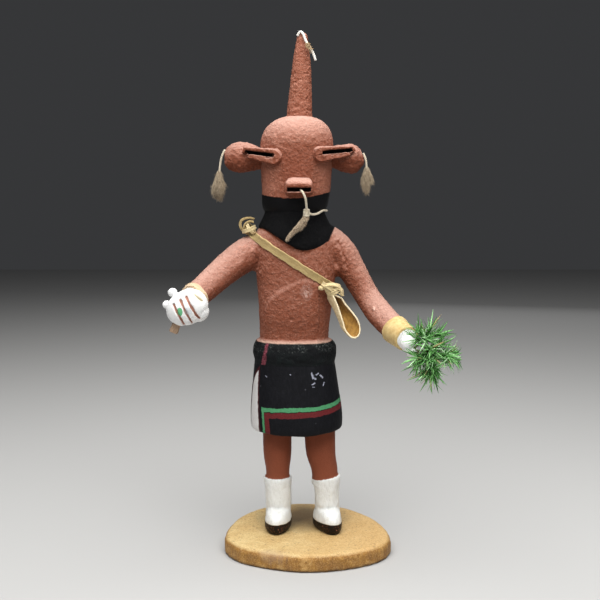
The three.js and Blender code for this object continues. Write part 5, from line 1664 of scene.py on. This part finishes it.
class Growth:
    """A geometry tree with named inputs, which grows small shapes on a piece."""

    def __init__(self, name):
        self.group = bpy.data.node_groups.new(name, "GeometryNodeTree")
        self.group.interface.new_socket("Geometry", in_out="INPUT", socket_type="NodeSocketGeometry")
        self.group.interface.new_socket("Geometry", in_out="OUTPUT", socket_type="NodeSocketGeometry")
        self.start = self.group.nodes.new("NodeGroupInput")
        self.values = {}
        self.draws = 0

    def wants(self, name, kind, value):
        """Adds a named input, and remembers what a modifier sets it to."""
        socket = self.group.interface.new_socket(name, in_out="INPUT", socket_type=f"NodeSocket{kind}")
        self.values[socket.identifier] = value
        return self.start.outputs[name]

    def node(self, kind, settings=None, inputs=None):
        node = self.group.nodes.new(kind)
        for key, value in (settings or {}).items():
            setattr(node, key, value)
        for key, value in (inputs or {}).items():
            if isinstance(value, bpy.types.NodeSocket):
                self.group.links.new(value, node.inputs[key])
            else:
                node.inputs[key].default_value = value
        return node

    def maths(self, operation, first, second):
        return self.node("ShaderNodeMath", {"operation": operation}, {0: first, 1: second}).outputs[0]

    def scaled(self, vector, share):
        node = self.node("ShaderNodeVectorMath", {"operation": "SCALE"}, {0: vector, "Scale": share})
        return node.outputs[0]

    def chance(self, low, high, seed):
        """A random number for each point, apart from those of other draws."""
        self.draws += 1
        own = self.maths("ADD", seed, 10.0 * self.draws)
        draw = self.node("FunctionNodeRandomValue", {"data_type": "FLOAT"}, {2: low, 3: high, 8: own})
        return draw.outputs[1]

    def turned(self, rotation, x=0.0, z=0.0):
        """A rotation turned about its own X or Z."""
        angles = self.node("ShaderNodeCombineXYZ", None, {"X": x, "Z": z}).outputs[0]
        by = self.node("FunctionNodeEulerToRotation", None, {0: angles}).outputs[0]
        node = self.node("FunctionNodeRotateRotation", {"rotation_space": "LOCAL"}, {0: rotation, 1: by})
        return node.outputs[0]

    def blade(self, length, width, flat, bend, sides, rings=4):
        """A thin tapered blade of a length that stands on the origin."""
        arc = self.node("GeometryNodeCurveQuadraticBezier", None, {
            "Resolution": rings, "Start": (0, 0, 0), "Middle": self.scaled((0, bend * 0.25, 0.5), length),
            "End": self.scaled((0, bend, 0.95), length),
        }).outputs[0]
        share = self.node("GeometryNodeSplineParameter").outputs["Factor"]
        left = self.maths("SUBTRACT", 1.08, self.maths("POWER", share, 2.5))
        radius = self.maths("MULTIPLY", left, width)
        arc = self.node("GeometryNodeSetCurveRadius", None, {"Curve": arc, "Radius": radius}).outputs[0]
        circle = self.node("GeometryNodeCurvePrimitiveCircle", None, {"Resolution": sides, "Radius": 1.0})
        section = self.node(
            "GeometryNodeTransform", None, {"Geometry": circle.outputs[0], "Scale": (1, flat, 1)},
        ).outputs[0]
        return self.node("GeometryNodeCurveToMesh", None, {
            "Curve": arc, "Profile Curve": section, "Fill Caps": True, "Scale": radius,
        }).outputs[0]

    def grow(self, points, blade, rotation, sizes, seed, material):
        """Ends the tree: a blade of its own size and shade on each point, as a plain mesh in one material."""
        size = self.chance(*sizes, seed)
        shade = self.chance(0.0, 1.0, seed)
        placed = self.node("GeometryNodeInstanceOnPoints", None, {
            "Points": points, "Instance": blade, "Rotation": rotation, "Scale": size,
        }).outputs[0]
        marked = self.node("GeometryNodeStoreNamedAttribute", {"data_type": "FLOAT", "domain": "INSTANCE"}, {
            "Geometry": placed, "Name": "shade", "Value": shade,
        }).outputs[0]
        real = self.node("GeometryNodeRealizeInstances", None, {"Geometry": marked}).outputs[0]
        done = self.node("GeometryNodeSetMaterial", None, {"Geometry": real, "Material": material}).outputs[0]
        self.node("NodeGroupOutput", None, {0: done})

    def run(self, piece):
        """Grows on a piece and leaves the result as its plain mesh."""
        modifier = piece.modifiers.new(self.group.name, "NODES")
        modifier.node_group = self.group
        for identifier, value in self.values.items():
            modifier[identifier] = value
        settle(piece)


def fibre_coat(piece, material, length, width, density, droop, bend=0.25, seed=1):
    """Covers a piece with fine fibres that lean down; the piece itself becomes the fibres."""
    tree = Growth("fibre_coat")
    size = tree.wants("Length", "Float", length * MM)
    thick = tree.wants("Width", "Float", width * MM)
    crowd = tree.wants("Fibres per square metre", "Float", density / MM ** 2)
    lean = tree.wants("Droop", "Float", droop)
    start = tree.wants("Seed", "Int", seed)
    scattered = tree.node("GeometryNodeDistributePointsOnFaces", {"distribute_method": "RANDOM"}, {
        "Mesh": tree.start.outputs["Geometry"], "Density": crowd, "Seed": start,
    })
    fall = tree.scaled((0, 0, -1.0), lean)
    stir = tree.node("FunctionNodeRandomValue", {"data_type": "FLOAT_VECTOR"}, {
        0: (-0.45, -0.45, -0.45), 1: (0.45, 0.45, 0.45), 8: start,
    }).outputs[0]
    aim = scattered.outputs["Normal"]
    for push in (fall, stir):
        aim = tree.node("ShaderNodeVectorMath", {"operation": "ADD"}, {0: aim, 1: push}).outputs[0]
    turn = tree.node("FunctionNodeAlignRotationToVector", {"axis": "Z"}, {"Vector": aim}).outputs[0]
    turn = tree.turned(turn, z=tree.chance(0.0, 6.283, start))
    blade = tree.blade(size, thick, 1.0, bend, sides=3)
    tree.grow(scattered.outputs["Points"], blade, turn, (0.55, 1.25), start, material)
    tree.run(piece)


def fibre_cotton(name, pale, deep):
    """Loose cotton fibres, each a shade of its own."""
    r = Recipe(name, specular=0.15, sheen=0.2)
    shade = r.attribute("shade")
    r.colour = r.mix(shade * 0.8 + r.noise(1.5, 3) * 0.3, deep, pale)
    r.over(r.z.below(205.5, 6.0) * r.z.above(198.0) * 0.45, scaled(deep, 0.8))
    return r.finish(0.95)


def string_piece(name, route, material, node, steps=80, radius=0.62):
    shape = bmesh.new()
    twisted(shape, smooth_path(STRINGS[route], steps), radius)
    fit(new_piece(name, shape), material, "cotton", node)


def tuft_piece(name, locks, material, fibres, node, length, density, droop, seed):
    """A cotton tuft: a dark packed core of a few locks, and the fibres that stand on it."""
    shape = bmesh.new()
    for lock in LOCKS[locks]:
        limb(shape, lock, steps=20, count=20)
    core, spots = carved(name, shape, 0.32, 2)
    swell(core, 0.35 * lumps(spots, 1.4, seed, (1, 1, 3)))
    coat = bpy.data.objects.new(f"{name}_fibres", core.data.copy())
    bpy.context.scene.collection.objects.link(coat)
    fibre_coat(coat, fibres, length, 0.06, density, droop, seed=seed)
    fit(core, material, "cotton", node)
    fit(coat, fibres, "cotton", node)


def make_cotton(packed, string, white, fibres, pale_fibres, fray):
    for side, length, seed in (("right", 2.8, 150), ("left", 2.4, 160)):
        node = f"knob_tassel_{side}"
        string_piece(f"knob_string_{side}", side, string, node, 50, 0.6)
        tuft_piece(f"knob_tuft_{side}", side, packed, fibres, node, length, 9, 2.4, seed)
    string_piece("mouth_string", "mouth", string, "mouth_tassel", 60)
    shape = bmesh.new()
    limb(shape, MOUTH_BINDING, steps=8, count=20)
    x, y, top = MOUTH_BINDING[0][:3]
    for level in BINDING_TURNS:
        at = (x - (top - level) * 0.05, y + (top - level) * 0.1, level)
        path = ring(at, (1, 0, 0), (0, 1, 0), 1.5, 1.5, 2, 20)
        tube(shape, np.vstack([path, path[:1]]), 0.36, 6)
    fit(new_piece("mouth_tassel_binding", shape), string, "cotton", "mouth_tassel")
    tuft_piece("mouth_tuft", "mouth", packed, pale_fibres, "mouth_tassel", 1.5, 13, 1.9, 170)
    string_piece("crown_string_strand", "crown", white, "crown_string", 70, 0.72)
    tuft_piece("crown_string_fray", "crown", packed, fray, "crown_string", 1.3, 10, 1.3, 180)
    string_piece("neck_string_strand", "neck", string, "neck_string", 120)


# ---- Spruce --------------------------------------------------------------------------------------

HAND_HOLD = (54.5, -44, 121)
PRESSED = ((1, -1, 57, 9.0), (0, 1, 74, 6.2))  # axis, its sense, where it starts, and the room past that
BURSTS = [  # where each tuft of needles starts, and where its short twigs point
    ((60, -49, 127), [(-3, -4, 5.5), (3, -4, 6.5), (7.5, -3, 4), (-4, -4, 1.5), (1, -7, 2)]),
    ((67.5, -52, 120.5), [(10, -2, -1.5), (9, -3, -2.5), (6, -1, 0.5), (4, -7, 0)]),
    ((59, -50, 118.5), [(-2.5, -5, -3), (-3, -6, 1), (2, -7, 0)]),
    ((63, -51, 115), [(0, -3, -5.5), (2, -4, -5), (-3, -4, -4), (2.5, -7, -1)]),
    ((62, -49, 121.5), [(1, -7, 3), (3, -7, -2.5), (6, -5, 4), (1, -6, -6), (-2, -7, -3)]),
]


def twig_paths():
    """Points from the hand to the tip of each sprig."""
    twigs = []
    for start, ways in BURSTS:
        start = np.array(start, float)
        knee = 0.5 * (start + HAND_HOLD) + (0, -1.5, 0.6)
        twigs += [[HAND_HOLD, knee, start, start + way] for way in np.array(ways, float)]
    return twigs


def needle_green():
    r = Recipe("needle_green", specular=0.35)
    shade = r.attribute("shade")
    green = r.mix((shade - 0.1) * 1.15, (0.050, 0.19, 0.034), (0.26, 0.60, 0.20))
    green = r.mix(shade.above(0.74, 0.04) * 0.8, green, (0.52, 0.80, 0.46))
    r.colour = r.mix(shade.above(0.955, 0.02), green, (0.42, 0.34, 0.17))
    tip = r.noise(3, 2)
    r.over(tip.above(0.6, 0.2) * 0.3, (0.22, 0.46, 0.16))
    return r.finish(0.6)


def twig_brown():
    r = Recipe("twig_brown", specular=0.2)
    rough = r.noise(0.8, 4, 0.7)
    r.colour = r.mix(rough, (0.045, 0.022, 0.012), (0.17, 0.085, 0.042))
    return r.finish(0.85, rough * 0.4, 0.5)


def make_spruce(needles, bark):
    """Bare stems, and needles that grow on the outer part of each twig."""
    twigs = twig_paths()
    stems = bmesh.new()
    for twig in twigs:
        tube(stems, smooth_path(twig, 16), np.linspace(0.62, 0.25, 17), 7)
    fit(new_piece("spruce_stems", stems), bark, "spruce_needles", "spruce_bunch")

    tree = Growth("needles_on_twigs")
    size = tree.wants("Needle length", "Float", 9.5 * MM)
    width = tree.wants("Needle width", "Float", 0.41 * MM)
    apart = tree.wants("Needle spacing", "Float", 0.19 * MM)
    seed = tree.wants("Seed", "Int", 7)
    lines = tree.node("GeometryNodeMeshToCurve", None, {"Mesh": tree.start.outputs["Geometry"]}).outputs[0]
    rows = tree.node("GeometryNodeCurveToPoints", {"mode": "LENGTH"}, {"Curve": lines, "Length": apart})
    turn = tree.node(
        "FunctionNodeAlignRotationToVector", {"axis": "Z"}, {"Vector": rows.outputs["Tangent"]},
    ).outputs[0]
    turn = tree.turned(turn, z=tree.chance(0.0, 6.283, seed))
    turn = tree.turned(turn, x=tree.chance(0.1, 0.95, seed))
    blade = tree.blade(size, width, 0.38, -0.14, sides=4)
    tree.grow(rows.outputs["Points"], blade, turn, (0.5, 1.3), seed, needles)
    shape = bmesh.new()
    for twig in twigs:
        path = smooth_path(twig, 12)[7:]
        made = [shape.verts.new(Vector(spot) * MM) for spot in path]
        for first, last in zip(made, made[1:]):
            shape.edges.new((first, last))
    bunch = new_piece("spruce_needles", shape)
    tree.run(bunch)
    # The bunch is pressed a little flat in front and at its outer side.
    spots = places(bunch)
    for axis, sense, start, room in PRESSED:
        past = np.maximum(sense * spots[:, axis] - start, 0)
        spots[:, axis] -= sense * (past - room * (1 - np.exp(-past / room)))
    move_to(bunch, spots)
    fit(bunch, needles, "spruce_needles", "spruce_bunch")


# ---- The slab ------------------------------------------------------------------------------------

def make_slab(material):
    """The sawn slab: its edge rounded, its wall rough and nicked at the floor."""
    slab = merged_copy("slab", "base")
    carve(slab, 0.6, 14)
    spots = places(slab)
    z = spots[:, 2]
    wall = 1 - step(np.abs(facings(slab)[:, 2]), 0.4, 0.8)
    lift = bumps(spots, (0.10, 9, 190), (0.04, 2, 191, (3, 1, 1)))
    lift += wall * bumps(spots, (0.22, 6, 192), (0.10, 1.6, 193, (1, 1, 4)))
    nicks = step(lumps(spots, 2.1, 194), 0.35, 0.7) * (1 - step(z, 0.6, 2.2))
    lift -= nicks * 0.5
    swell(slab, lift * step(z, 0, 1))
    spots = places(slab)
    spots[:, 2] = np.maximum(spots[:, 2], 0)
    move_to(slab, spots)
    fit(slab, material, "base_wood", "base")


def make_floor(material):
    shape = bmesh.new()
    half = 2.5
    corners = [shape.verts.new(spot) for spot in (
        (-half, -half, 0), (half, -half, 0), (half, half, 0), (-half, half, 0),
    )]
    shape.faces.new(corners)
    floor = new_piece("floor", shape)
    floor.data.materials.append(material)


# ---- Assembly ------------------------------------------------------------------------------------

def build_doll():
    figure = shape_figure()
    carve(figure, 0.55, 6)
    weather_figure(figure)
    paint = figure_paint()
    head = slice_of(figure, "carved_head", HEAD_BOTTOM - 0.1, None)
    trunk = slice_of(figure, "carved_trunk", BELT_BOTTOM - 0.4, HEAD_BOTTOM - 0.1)
    lower = slice_of(figure, "carved_kilt_and_legs", None, BELT_BOTTOM - 0.4)
    bpy.data.objects.remove(figure)
    fit(head, paint, "mud_paint", "body")
    fit(trunk, paint, "mud_paint", "body", "arm_right", "arm_left")
    fit(lower, paint, "mud_paint", "body")

    # The knobs and eye bars take a share of painted shade; the lit mouth almost none.
    fitting = fitting_paint("fitting_paint", 0.26)
    knobs = {side: make_knob(side, fitting) for side in ("right", "left")}
    make_crown(crown_paint())
    for side in ("right", "left"):
        make_eye(side, fitting, surface(head, knobs[side]))
    make_mouth(fitting_paint("mouth_paint", 0.02), surface(head))

    white = hand_paint()
    fist = make_fist(white)
    make_left_hand(white)
    make_held_stick(bare_wood(), surface(fist))
    cream = cuff_hide("cream_hide", (0.74, 0.58, 0.40), (0.50, 0.33, 0.19))
    make_cuff("right", cream, "cream_leather")
    yellow = cuff_hide("yellow_hide", (0.73, 0.58, 0.28), (0.46, 0.29, 0.095))
    make_cuff("left", yellow, "yellow_leather")

    tan = hide("tan_hide", (0.47, 0.355, 0.165), (0.27, 0.185, 0.070))
    make_strap(tan, surface(trunk))
    make_knots(tan, hide("pale_hide", (0.80, 0.67, 0.40), (0.54, 0.41, 0.19)))
    make_pouch(pocket_hide())

    make_cotton(
        cotton("packed_cotton", (0.27, 0.21, 0.14), (0.10, 0.070, 0.042)),
        cotton("string_cotton", (0.76, 0.69, 0.56), (0.46, 0.38, 0.26)),
        cotton("white_cotton", (0.92, 0.91, 0.87), (0.66, 0.62, 0.54)),
        fibre_cotton("tassel_fibres", (0.60, 0.49, 0.34), (0.19, 0.13, 0.075)),
        fibre_cotton("mouth_fibres", (0.74, 0.60, 0.43), (0.30, 0.205, 0.13)),
        fibre_cotton("tan_fray", (0.66, 0.49, 0.27), (0.34, 0.20, 0.09)),
    )
    make_spruce(needle_green(), twig_brown())
    make_slab(slab_wood())


place_camera()
light_studio()
make_floor(plain_floor())
build_doll()
